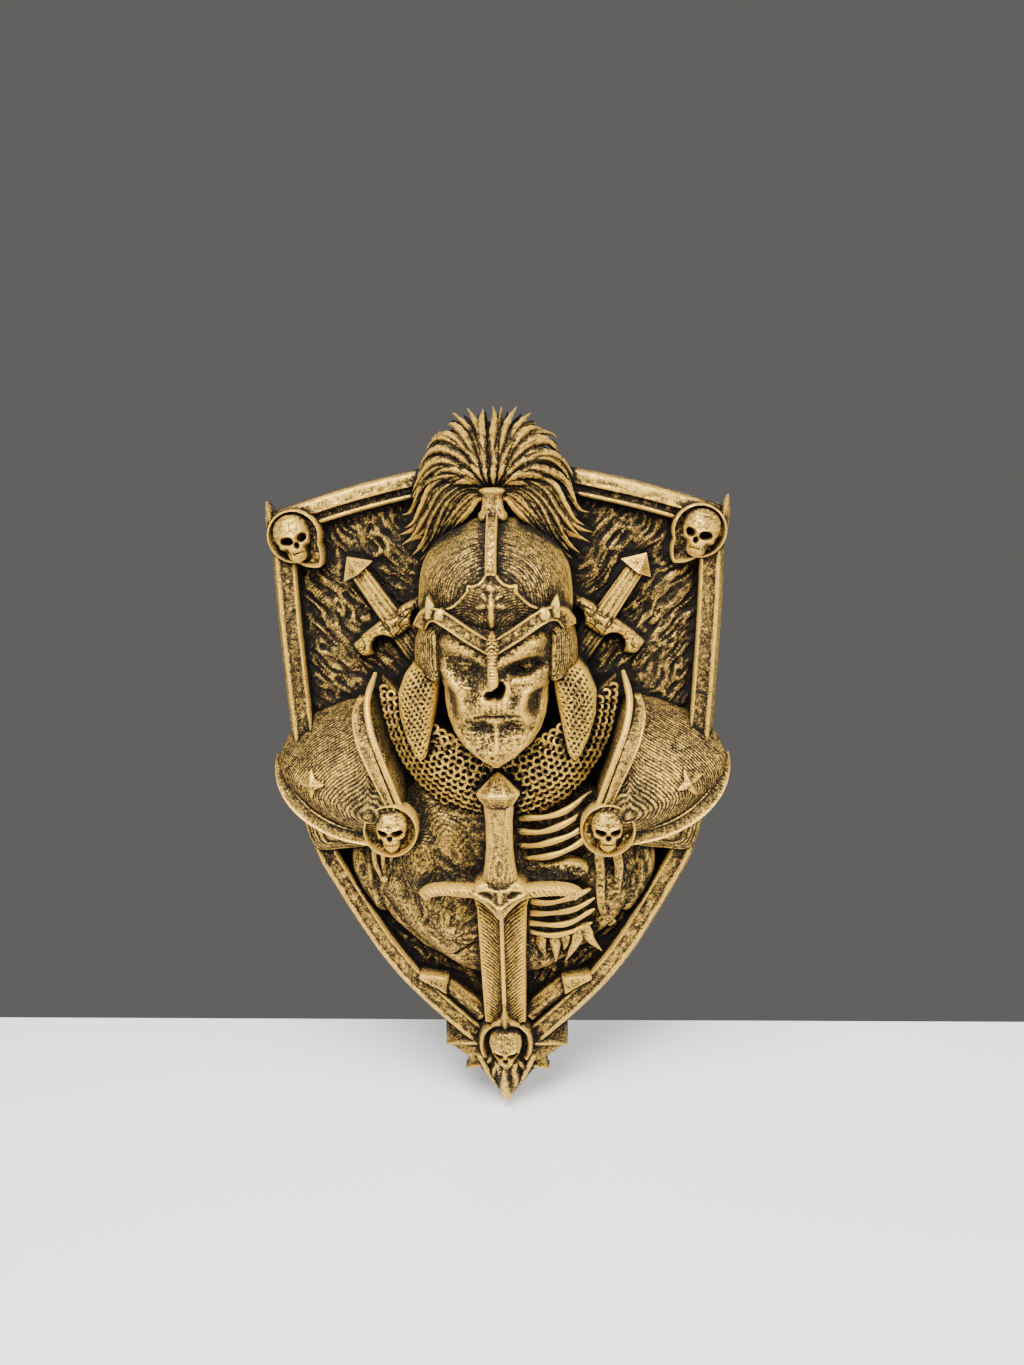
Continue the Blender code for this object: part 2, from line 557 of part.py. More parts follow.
def plume(target):
    """The horsehair plume: a core behind and tapering locks in front."""
    core = [(0, 97), (9, 94.4), (15, 88.4), (18, 81), (19.4, 76), (12, 74.6), (4, 75.6), (0, 76)]
    dome("plume_core", target, both_halves(core), (0, 83), 9.0, 7.5, 20, 3)
    for side, label in ((-1, "left"), (1, "right")):
        fall = on_side([(10, 77), (18, 78), (23, 72), (26, 63), (22, 59.6), (17.4, 64.4), (12.4, 71)], side)
        dome("plume_fall_" + label, target, smooth(fall, 1, closed=True), (18 * side, 70), 7.0, 4.6, 14, 2)
        for number, lock in enumerate(plume_locks(), 1):
            if number == 1 and side < 0:
                continue
            last = len(lock) - 1
            radii = [1.1 + 0.7 * math.sin(math.pi * i / last) for i in range(last)] + [0.3]
            rod(f"lock_{label}_{number}", target, on_side(lock, side), radii)


def main_sword(target):
    """The sword held point down before the chest."""
    bm = bmesh.new()
    bmesh.ops.create_uvsphere(bm, u_segments=8, v_segments=6, radius=1.0)
    top, bottom = POMMEL_Z
    middle = (top + bottom) / 2
    for vert in bm.verts:
        x, y, z = vert.co
        vert.co = at(x * 6.2, middle + z * (top - middle), SWORD_HEIGHT + 3.4 + y * 5.6)
    store("pommel", bm, target)
    path = [(0, z, SWORD_HEIGHT + 1.6) for z, _ in GRIP_PROFILE]
    rod("grip", target, path, [radius for _, radius in GRIP_PROFILE], resolution=2)
    section = [(-2.3, -3.0), (-1.7, -0.2), (0, 0.5), (1.7, -0.2), (2.3, -3.0)]
    for side, label in ((-1, "left"), (1, "right")):
        ribbon("guard_" + label, target, on_side(GUARD_PATH, side), section, foot=10.0)
    boss = [(-6.4, -37), (6.4, -37), (7.4, -41.4), (0, -45.6), (-7.4, -41.4)]
    slab("guard_boss", target, boss, 12.0, 25.6, [(1.2, 1.4)])
    path = [(0, BLADE_TOP_Z, 21.0), (0, -60, 20.0), (0, -76, 17.6), (0, BLADE_FOOT_Z, 15.4)]
    wide = BLADE_HALF_WIDTH
    ribbon(
        "blade", target, path,
        [(-wide, -3.0), (-wide + 0.8, -1.0), (-1.1, 0.2), (-0.9, 1.1), (0.9, 1.1), (1.1, 0.2), (wide - 0.8, -1.0), (wide, -3.0)],
    )
    shoulders = [(-9.4, -40.6), (9.4, -40.6), (7.6, -45), (-7.6, -45)]
    slab("blade_shoulders", target, shoulders, 8.0, 19.4)


def finial(target):
    """The pointed foot of the shield: spikes, an ogee hood and a skull in it."""
    slab("finial_block", target, both_halves(FINIAL_OUTLINE), FEET.take(), 5.0, [(1.4, 1.8)])
    dome("finial_hood", target, both_halves(HOOD_OUTLINE), (0, -97), 7.0, 6.0, 16, 3, squareness=0.6)
    skull("finial_skull", target, (0, -98.2), 11.4, 4.9, foot=4.0)
    for side, label in ((-1, "left"), (1, "right")):
        rod("finial_spike_" + label, target, on_side([(7, -91.8, 9.0), (19.0, -96.2, 6.4)], side), [2.4, 0.4])


def side_blades(target):
    """The wedge and the bar that show below the chest, beside the frame."""
    for side, label in ((-1, "left"), (1, "right")):
        wedge = on_side([(27.4, -72.6), (24.6, -70.2), (17.0, -72.8), (18.2, -78.6)], side)
        slab("wedge_" + label, target, wedge, FEET.take(), 11.4, [(0.9, 0.8)])
        path = on_side([(19.4, -77.4, 6.2), (14, -81.6, 6.4), (8, -86.6, 6.4)], side)
        rod("bar_" + label, target, path, [3.3, 3.5, 3.5], resolution=1)


def main():
    for old in list(bpy.data.objects):
        bpy.data.objects.remove(old)
    forms = collection("forms")
    plaque = collection("knight_wall_plaque")
    body = shield(plaque)
    for side, label in ((-1, "left"), (1, "right")):
        corner(forms, side, label)
        back_sword(forms, side, label)
        pauldron(forms, side, label)
    torso(forms)
    coif(forms)
    head(forms)
    helmet_trim(forms)
    plume(forms)
    main_sword(forms)
    finial(forms)
    side_blades(forms)
    join = body.modifiers.new("join_forms", "BOOLEAN")
    join.operation = "UNION"
    join.operand_type = "COLLECTION"
    join.collection = forms


main()
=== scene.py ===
"""Knight wall plaque: the finished relief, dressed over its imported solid.

The plaque hangs upright: X runs to the viewer's right, Z up, and the wall is the plane Y = 0.
Sizes are in millimetres until a mesh is closed off. A place is (x, z, height), where height is
the distance that it stands out from the wall, towards -Y.
"""

from __future__ import annotations

import logging
import math
from dataclasses import dataclass, field
from enum import Enum
from typing import Callable, Iterator, Sequence

import bmesh
import bpy
import numpy as np
from mathutils import Matrix, Vector


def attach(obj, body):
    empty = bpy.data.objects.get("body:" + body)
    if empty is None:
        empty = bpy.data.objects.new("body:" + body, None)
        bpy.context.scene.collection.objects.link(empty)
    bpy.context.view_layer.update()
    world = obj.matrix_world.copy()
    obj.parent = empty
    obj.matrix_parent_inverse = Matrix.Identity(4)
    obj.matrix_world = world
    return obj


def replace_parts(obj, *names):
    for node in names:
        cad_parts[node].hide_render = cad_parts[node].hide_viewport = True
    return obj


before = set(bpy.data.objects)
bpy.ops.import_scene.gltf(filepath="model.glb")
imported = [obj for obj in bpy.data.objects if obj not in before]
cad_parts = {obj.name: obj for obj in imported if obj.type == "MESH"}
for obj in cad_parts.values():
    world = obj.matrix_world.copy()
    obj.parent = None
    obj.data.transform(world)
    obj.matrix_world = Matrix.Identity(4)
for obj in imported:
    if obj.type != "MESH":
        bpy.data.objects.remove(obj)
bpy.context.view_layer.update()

LOG = logging.getLogger("knight_wall_plaque")
MM = 0.001
NODE = "knight_plaque"
# Distance within which vertices are joined, and the angle from which an edge is drawn sharp
WELD = 2e-6
SHARP_ANGLE = math.radians(48)
# Distance between the contour lines of the print's layers
LAYER_STEP = 0.5 * MM
# Cells each way before the noise repeats, and steps between two points of a smooth curve
NOISE_CELLS = 64
SPAN_STEPS = 12

Array = np.ndarray
Point = tuple[float, float]
Place = tuple[float, float, float]
Places = tuple[Array, Array, Array]
Shape = Callable[[Array, Array], Places]
Height = Callable[[Array, Array, Array], Array]


class Side(Enum):
    """The two halves of the plaque, as the sign of X."""

    LEFT = -1
    RIGHT = 1


# Curves and brushes


def even(points: Array, count: int) -> Array:
    """Spaces points evenly along a line.

    Args:
        points: The line's corners, one a row.
        count: How many points to return.

    Returns:
        The evenly spaced points, one a row.
    """
    run = np.concatenate([[0.0], np.cumsum(np.linalg.norm(np.diff(points, axis=0), axis=1))])
    where = np.linspace(0, run[-1], count)
    return np.stack([np.interp(where, run, points[:, k]) for k in range(points.shape[1])], axis=1)


def smooth(points: Sequence[Sequence[float]], count: int, closed: bool = False) -> Array:
    """Draws a smooth curve through points and spaces it evenly.

    Args:
        points: The points that the curve passes.
        count: How many points to return.
        closed: Whether the curve returns to its start.

    Returns:
        Points on the curve, one a row. A closed curve repeats its first point at the end.
    """
    given = np.asarray(points, float)
    number = len(given)
    t = np.linspace(0, 1, SPAN_STEPS, endpoint=False)[:, None]
    spans = []
    for i in range(number if closed else number - 1):
        if closed:
            a, b, c, d = given[[(i + k) % number for k in (-1, 0, 1, 2)]]
        else:
            a, b, c, d = given[[min(max(i + k, 0), number - 1) for k in (-1, 0, 1, 2)]]
        bend = 2 * a - 5 * b + 4 * c - d
        spans.append(0.5 * (2 * b + (c - a) * t + bend * t**2 + (3 * b - a - 3 * c + d) * t**3))
    spans.append(given[:1] if closed else given[-1:])
    return even(np.concatenate(spans), count)


def rounded(points: Sequence[Point], count: int, blunt: float = 0.5) -> Array:
    """A closed outline with straight edges and slightly rounded corners.

    Args:
        points: Its corners, in order round it.
        count: How many points to return.
        blunt: How far from each corner the rounding starts, in mm.

    Returns:
        Points on the outline, one a row, the first one repeated at the end.
    """
    given = np.asarray(points, float)
    line = []
    for before, here, after in zip(np.roll(given, 1, axis=0), given, np.roll(given, -1, axis=0)):
        for other in (before, after):
            span = np.linalg.norm(other - here)
            line.append(here + (other - here) * min(blunt / span, 0.4))
    return even(np.asarray([*line, line[0]]), count)


def mirrored(points: Sequence[Sequence[float]], side: Side) -> list[tuple[float, ...]]:
    """The points on the right side, or their mirror images on the left."""
    return [(point[0] * side.value, *point[1:]) for point in points]


def both_halves(right_half: Sequence[Point]) -> list[Point]:
    """A closed outline from its right half, which starts and ends on the middle line."""
    return [*right_half, *((-x, z) for x, z in reversed(right_half[1:-1]))]


def value_at(curve: Sequence[Point], z: Array) -> Array:
    """The value at each z of a curve given as (value, z), from the highest z down."""
    table = np.asarray(curve, float)[::-1]
    return np.interp(z, table[:, 1], table[:, 0])


def ramp(x: Array, low: float, high: float) -> Array:
    """A soft step from 0 at low to 1 at high."""
    t = np.clip((x - low) / (high - low), 0, 1)
    return t * t * (3 - 2 * t)


def bell(x: Array, width: float) -> Array:
    """A bell curve: 1 at zero, and 1/e a width away."""
    return np.exp(-((x / width) ** 2))


def bulge(share: Array, power: float = 2.0, root: float = 0.5) -> Array:
    """A rounded form: 1 in the middle and 0 where the share is 1 either way."""
    return np.clip(1 - np.abs(share) ** power, 0, 1) ** root


def filled(outline: Sequence[Point], u: Array, v: Array) -> Places:
    """Spreads a grid over a form that is alike on both sides of its middle line.

    Args:
        outline: The form's right edge as (half-width, z), from the top down.
        u: The grid's coordinate across, from -1 to 1.
        v: The grid's coordinate upwards, from -1 to 1.

    Returns:
        How far out each point is as a share of the half-width there, its x and its z.
    """
    top, bottom = outline[0][1], outline[-1][1]
    share = u * (1.15 - 0.15 * u * u)
    z = (top + bottom) / 2 + v * (top - bottom) / 2
    return share, share * value_at(outline, z), z


def facing(section: Sequence[Point], side: Side) -> list[Point]:
    """A band's section given for the right side, or turned about for the left."""
    if side is Side.RIGHT:
        return list(section)
    return [(-sideways, up) for sideways, up in reversed(section)]


def grain(x: Array, z: Array, size: float, seed: int) -> Array:
    """Smooth noise from -1 to 1.

    Args:
        x: First coordinates.
        z: Second coordinates.
        size: Width of a cell of the noise, in the coordinates' unit.
        seed: Which pattern to draw.

    Returns:
        The noise at each point.
    """
    cells = np.random.default_rng(seed).uniform(-1, 1, (NOISE_CELLS, NOISE_CELLS))
    i, j = np.floor(x / size).astype(int), np.floor(z / size).astype(int)
    fx, fz = x / size - i, z / size - j
    fx, fz = fx * fx * (3 - 2 * fx), fz * fz * (3 - 2 * fz)
    left, right, near, far = (k % NOISE_CELLS for k in (i, i + 1, j, j + 1))
    low = cells[left, near] * (1 - fx) + cells[right, near] * fx
    high = cells[left, far] * (1 - fx) + cells[right, far] * fx
    return low * (1 - fz) + high * fz


def knoll(
    x: Array, z: Array, place: Point, half: Point, rise: float, turn: float = 0, edge: float = 1,
) -> Array:
    """A round mound or hollow.

    Args:
        x: Points' x.
        z: Points' z.
        place: Its middle.
        half: Its half-width and half-height.
        rise: How far it stands up, or down if negative.
        turn: Its turn in degrees, anticlockwise.
        edge: 1 for a soft bell; more makes the top flatter and the edge steeper.

    Returns:
        The rise at each point.
    """
    c, s = math.cos(math.radians(turn)), math.sin(math.radians(turn))
    dx, dz = x - place[0], z - place[1]
    away = ((dx * c + dz * s) / half[0]) ** 2 + ((dz * c - dx * s) / half[1]) ** 2
    return rise * np.exp(-(away**edge))


def distance(x: Array, z: Array, path: Sequence[Sequence[float]]) -> Array:
    """How far each point is from a line drawn through the path's places."""
    best = np.full(np.shape(x), np.inf)
    line = np.asarray(path, float)[:, :2]
    for (x1, z1), (x2, z2) in zip(line, line[1:]):
        ex, ez = x2 - x1, z2 - z1
        share = np.clip(((x - x1) * ex + (z - z1) * ez) / max(ex * ex + ez * ez, 1e-9), 0, 1)
        best = np.minimum(best, np.hypot(x - x1 - ex * share, z - z1 - ez * share))
    return best


def stroke(
    x: Array, z: Array, path: Sequence[Sequence[float]], width: float, rise: float, edge: float = 1,
) -> Array:
    """A ridge or groove along a line.

    Args:
        x: Points' x.
        z: Points' z.
        path: The line's places.
        width: Half-width of the stroke.
        rise: How far it stands up, or down if negative.
        edge: 1 for a soft ridge; more makes it flatter on top.

    Returns:
        The rise at each point.
    """
    return rise * np.exp(-((distance(x, z, path) / width) ** (2 * edge)))


# Meshes


class Casting:
    """One piece of the relief in the making: grids that are shaped together, and solid forms."""

    PATH_STEPS = 400
    SECTION_STEPS = 60

    def __init__(self, name: str) -> None:
        """Starts an empty piece.

        Args:
            name: The piece's name.
        """
        self.name = name
        self.bm = bmesh.new()
        self.sheets = bmesh.new()
        self.shaped: list[tuple[int, int, Shape]] = []

    def grid(self, columns: int, rows: int, shape: Shape) -> None:
        """Adds a grid whose coordinates, from -1 to 1 both ways, a shape turns into places.

        Args:
            columns: Faces across.
            rows: Faces up.
            shape: Takes the grid's coordinates to x, z and height.
        """
        start = len(self.sheets.verts)
        bmesh.ops.create_grid(self.sheets, x_segments=columns, y_segments=rows, size=1.0)
        self.shaped.append((start, len(self.sheets.verts), shape))

    def patch(self, columns: int, rows: int, shape: Shape, foot: float) -> None:
        """Adds a surface whose outermost ring of faces is a wall down to the foot.

        Args:
            columns: Faces across.
            rows: Faces up.
            shape: Takes the grid's coordinates to x, z and height.
            foot: Height at which the wall ends.
        """

        def walled(u: Array, v: Array) -> Places:
            """The surface inside, and the wall round it."""
            inside_u = np.clip(u * columns / (columns - 2), -1, 1)
            inside_v = np.clip(v * rows / (rows - 2), -1, 1)
            x, z, height = shape(inside_u, inside_v)
            rim = np.maximum(np.abs(u), np.abs(v)) > 1 - 1e-4
            return x, z, np.where(rim, foot, height)

        self.grid(columns, rows, walled)

    def disc(
        self, outline: Array, centre: Point, spokes: int, rings: int, height: Height, foot: float,
    ) -> None:
        """Adds a surface made of rings round a centre, out to a closed outline.

        Args:
            outline: Points of the outline, seen in turn from the centre.
            centre: Where the rings meet.
            spokes: Faces round.
            rings: Faces from the centre out.
            height: Gives the height from x, z and the share of the way out.
            foot: Height at which the wall round it ends.
        """
        dx, dz = outline[:, 0] - centre[0], outline[:, 1] - centre[1]
        angles, reach = np.arctan2(dz, dx), np.hypot(dx, dz)

        def polar(u: Array, v: Array) -> Places:
            """The rings, the last of them dropped to the foot."""
            angle = np.pi * u
            ring = (v + 1) / 2 * rings
            share = np.clip(ring / (rings - 1), 0, 1)
            span = np.interp(angle, angles, reach, period=2 * np.pi) * share
            x, z = centre[0] + span * np.cos(angle), centre[1] + span * np.sin(angle)
            return x, z, np.where(ring > rings - 0.5, foot, height(x, z, share))

        self.grid(spokes, rings, polar)

    def tube(
        self, path: Array, radii: Array, sides: int, flat: float = 1.0, flutes: int = 0, depth: float = 0.0,
    ) -> None:
        """Adds a round bar along a path.

        Args:
            path: Places (x, z, height), one a row.
            radii: The bar's radius at each place.
            sides: Faces round it.
            flat: How much wider it is sideways than outwards.
            flutes: How many grooves run along it.
            depth: The grooves' depth as a share of the radius.
        """
        run = np.gradient(path, axis=0)
        run /= np.linalg.norm(run, axis=1, keepdims=True)
        across = np.cross(run, (0.0, 0.0, 1.0))
        across /= np.maximum(np.linalg.norm(across, axis=1, keepdims=True), 1e-6)
        outward = np.cross(across, run)
        last = len(path) - 1

        def swept(u: Array, v: Array) -> Places:
            """The bar's skin."""
            i = np.rint((v + 1) / 2 * last).astype(int)
            angle = np.pi * u
            radius = radii[i] * (1 + depth * np.cos(flutes * angle))
            place = path[i] + across[i] * (radius * flat * np.cos(angle))[:, None]
            place = place + outward[i] * (radius * np.sin(angle))[:, None]
            return place[:, 0], place[:, 1], place[:, 2]

        self.grid(sides, last, swept)

    def band(
        self, path: Sequence[Sequence[float]], section: Sequence[Point], foot: float, step: float = 0.45,
        relief: Callable[[Array, Array], Array] | None = None, curved: bool = True,
        widths: Sequence[float] = (1.0, 1.0),
    ) -> None:
        """Adds a strip along a path.

        Args:
            path: Places (x, z, height) along the strip's middle.
            section: Its cross-section as (sideways, up).
            foot: Height at which its edges end.
            step: Size of its faces.
            relief: Adds to the height from the distance along and the distance sideways.
            curved: Whether the path is a smooth curve or straight runs.
            widths: Multiplies the section's width, at even steps along the path.
        """
        steps = self.PATH_STEPS
        line = smooth(path, steps) if curved else even(np.asarray(path, float), steps)
        length = float(np.linalg.norm(np.diff(line, axis=0), axis=1).sum())
        run = np.gradient(line[:, :2], axis=0)
        run /= np.maximum(np.linalg.norm(run, axis=1, keepdims=True), 1e-9)
        table = np.linspace(0, 1, steps)
        across = even(np.asarray(section, float), self.SECTION_STEPS)
        across_table = np.linspace(0, 1, self.SECTION_STEPS)

        def strip(u: Array, v: Array) -> Places:
            """The strip's face."""
            t, s = (v + 1) / 2, (u + 1) / 2
            x, z, height = (np.interp(t, table, line[:, k]) for k in range(3))
            run_x, run_z = (np.interp(t, table, run[:, k]) for k in range(2))
            sideways = np.interp(s, across_table, across[:, 0])
            height = height + np.interp(s, across_table, across[:, 1])
            if relief is not None:
                height = height + relief(t * length, sideways)
            sideways = sideways * np.interp(t, np.linspace(0, 1, len(widths)), widths)
            return x - run_z * sideways, z + run_x * sideways, height

        wide = float(np.linalg.norm(np.diff(across, axis=0), axis=1).sum())
        self.patch(max(8, round(wide / (0.7 * step))), max(8, round(length / step)), strip, foot)

    def pyramid(self, root: Place, tip: Place, width: float, turn: float = 0.0) -> None:
        """Adds a four-sided point.

        Args:
            root: Middle of its base, as x, z and height.
            tip: Its point.
            width: Half its width across the corners of the base.
            turn: Degrees that it is turned about its own axis.
        """
        start, end = (Vector((x * MM, -height * MM, z * MM)) for x, z, height in (root, tip))
        verts = bmesh.ops.create_cone(
            self.bm, cap_ends=True, segments=4, radius1=width * MM, radius2=0.12 * MM,
            depth=(end - start).length,
        )["verts"]
        aim = Vector((0, 0, 1)).rotation_difference(end - start).to_matrix().to_4x4()
        bmesh.ops.transform(
            self.bm, verts=verts,
            matrix=Matrix.Translation((start + end) / 2) @ aim @ Matrix.Rotation(math.radians(turn), 4, "Z"),
        )
        edges = list({edge for vert in verts for edge in vert.link_edges})
        bmesh.ops.subdivide_edges(self.bm, edges=edges, cuts=7, use_grid_fill=True)

    def slab(self, outline: Sequence[Point], base: float, height: float, steps: Sequence[Point] = ()) -> None:
        """Adds a flat form, with steps inside its edge.

        Args:
            outline: Its closed outline.
            base: Height of its back.
            height: Height of its front, at the edge.
            steps: Each (how far in, how far up) of the front's insets.
        """
        bm = self.bm
        bottom = bm.faces.new([bm.verts.new((x * MM, -base * MM, z * MM)) for x, z in outline])
        grown = bmesh.ops.extrude_face_region(bm, geom=[bottom])["geom"]
        top = next(item for item in grown if isinstance(item, bmesh.types.BMFace))
        bmesh.ops.translate(bm, verts=list(top.verts), vec=(0, (base - height) * MM, 0))
        sides = (face for edge in top.edges for face in edge.link_faces)
        bmesh.ops.recalc_face_normals(bm, faces=list({bottom, top, *sides}))
        for inward, upward in steps:
            bmesh.ops.inset_region(
                bm, faces=[top], thickness=inward * MM, depth=upward * MM, use_even_offset=True,
                use_boundary=True,
            )

    def finish(self, finish: bpy.types.Material) -> bpy.types.Object:
        """Shapes the grids, closes the piece, links it to the scene and parents it under the root body.

        Args:
            finish: The piece's material.

        Returns:
            The finished object.
        """
        mesh = bpy.data.meshes.new(self.name)
        self.sheets.to_mesh(mesh)
        self.sheets.free()
        places = np.empty(len(mesh.vertices) * 3, np.float32)
        mesh.vertices.foreach_get("co", places)
        places = places.reshape(-1, 3)
        for start, end, shape in self.shaped:
            x, z, height = shape(places[start:end, 0].astype(float), places[start:end, 1].astype(float))
            places[start:end] = np.stack([x, -height, z], axis=1) * MM
        mesh.vertices.foreach_set("co", places.ravel())
        bm = self.bm
        bm.from_mesh(mesh)
        bmesh.ops.remove_doubles(bm, verts=bm.verts, dist=WELD)
        bmesh.ops.holes_fill(bm, edges=[edge for edge in bm.edges if edge.is_boundary], sides=0)
        bmesh.ops.recalc_face_normals(bm, faces=bm.faces)
        bm.to_mesh(mesh)
        bm.free()
        mesh.materials.append(finish)
        mesh.shade_smooth()
        mesh.set_sharp_from_angle(angle=SHARP_ANGLE)
        piece = bpy.data.objects.new(self.name, mesh)
        bpy.context.scene.collection.objects.link(piece)
        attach(piece, "root")
        LOG.info("%s: %d faces", self.name, len(mesh.polygons))
        return piece


# Finishes


def add_node(tree: bpy.types.NodeTree, kind: str, **values: float) -> bpy.types.Node:
    """Adds a shader node; each value is named for an input, with _ for a space.

    Args:
        tree: The node tree.
        kind: The node's type without its first part, ShaderNode.
        values: The inputs' plain values.

    Returns:
        The new node.
    """
    node = tree.nodes.new(f"ShaderNode{kind}")
    for name, value in values.items():
        node.inputs[name.replace("_", " ")].default_value = value
    return node


def new_material(name: str) -> tuple[bpy.types.Material, bpy.types.NodeTree, bpy.types.Node]:
    """A new material with its node tree and its main shader."""
    material = bpy.data.materials.new(name)
    material.use_nodes = True
    tree = material.node_tree
    return material, tree, tree.nodes["Principled BSDF"]


@dataclass(frozen=True)
class AntiqueGold:
    """Gold paint dry-brushed over a black coat, on a part printed in fine layers. The dark in
    hollows and beside taller parts is partly that black coat and partly painted shade.

    coverage moves the balance from black to gold, contrast is the strength of the relief's
    own light and dark (gold on raised edges; black coat and painted shade in hollows), streaks
    that of the brush's marks, and layers that of the contour lines which the print's layers leave.
    """

    name: str
    coverage: float = 0.5
    contrast: float = 1.0
    streaks: float = 0.6
    layers: float = 0.25
    black: tuple[float, float, float] = (0.0035, 0.0026, 0.0016)
    brown: tuple[float, float, float] = (0.020, 0.0125, 0.0045)
    bronze: tuple[float, float, float] = (0.088, 0.054, 0.0150)
    gold: tuple[float, float, float] = (0.270, 0.166, 0.0360)
    pale: tuple[float, float, float] = (0.700, 0.428, 0.0700)

    def build(self) -> bpy.types.Material:
        """Makes the material."""
        material, tree, shader = new_material(self.name)
        brush = add_node(tree, "Group")
        brush.node_tree = dry_brush_group()
        for socket, value in (
            ("Coverage", self.coverage), ("Contrast", self.contrast), ("Streaks", self.streaks),
            ("Layers", self.layers),
        ):
            brush.inputs[socket].default_value = value
        shader.inputs["Specular IOR Level"].default_value = 0.12
        # crest brings gold onto raised edges; hollow darkens recesses, partly as the black coat and partly as
        # painted shade
        for attribute in ("crest", "hollow"):
            reader = add_node(tree, "Attribute")
            reader.attribute_name = attribute
            tree.links.new(reader.outputs["Fac"], brush.inputs[attribute.capitalize()])
        colours = add_node(tree, "ValToRGB")
        stops = colours.color_ramp.elements
        stops[0].position, stops[0].color = 0.0, (*self.black, 1)
        stops[1].position, stops[1].color = 1.0, (*self.pale, 1)
        for position, colour in ((0.28, self.brown), (0.48, self.bronze), (0.72, self.gold)):
            stop = stops.new(position)
            stop.color = (*colour, 1)
        tree.links.new(brush.outputs["Gold"], colours.inputs["Fac"])
        tree.links.new(colours.outputs["Color"], shader.inputs["Base Color"])
        for socket, low, high in (("Metallic", 0.0, 0.55), ("Roughness", 0.8, 0.46)):
            spread = add_node(tree, "MapRange", From_Min=0.25, From_Max=0.8, To_Min=low, To_Max=high)
            tree.links.new(brush.outputs["Gold"], spread.inputs["Value"])
            tree.links.new(spread.outputs["Result"], shader.inputs[socket])
        bump = add_node(tree, "Bump", Distance=0.06 * MM, Strength=0.8)
        tree.links.new(brush.outputs["Height"], bump.inputs["Height"])
        tree.links.new(bump.outputs["Normal"], shader.inputs["Normal"])
        return material


@dataclass(frozen=True)
class PlainCoat:
    """The plain brown coat on the flat back, only faintly mottled."""

    name: str
    low: tuple[float, float, float] = (0.012, 0.0090, 0.0056)
    high: tuple[float, float, float] = (0.021, 0.0160, 0.0098)

    def build(self) -> bpy.types.Material:
        """Makes the material."""
        material, tree, shader = new_material(self.name)
        shader.inputs["Roughness"].default_value = 0.7
        place = add_node(tree, "TexCoord")
        mottle = add_node(tree, "TexNoise", Scale=260, Detail=6)
        colours = add_node(tree, "ValToRGB")
        stops = colours.color_ramp.elements
        for stop, position, colour in zip(stops, (0.35, 0.65), (self.low, self.high)):
            stop.position, stop.color = position, (*colour, 1)
        tree.links.new(place.outputs["Object"], mottle.inputs["Vector"])
        tree.links.new(mottle.outputs["Fac"], colours.inputs["Fac"])
        tree.links.new(colours.outputs["Color"], shader.inputs["Base Color"])
        return material


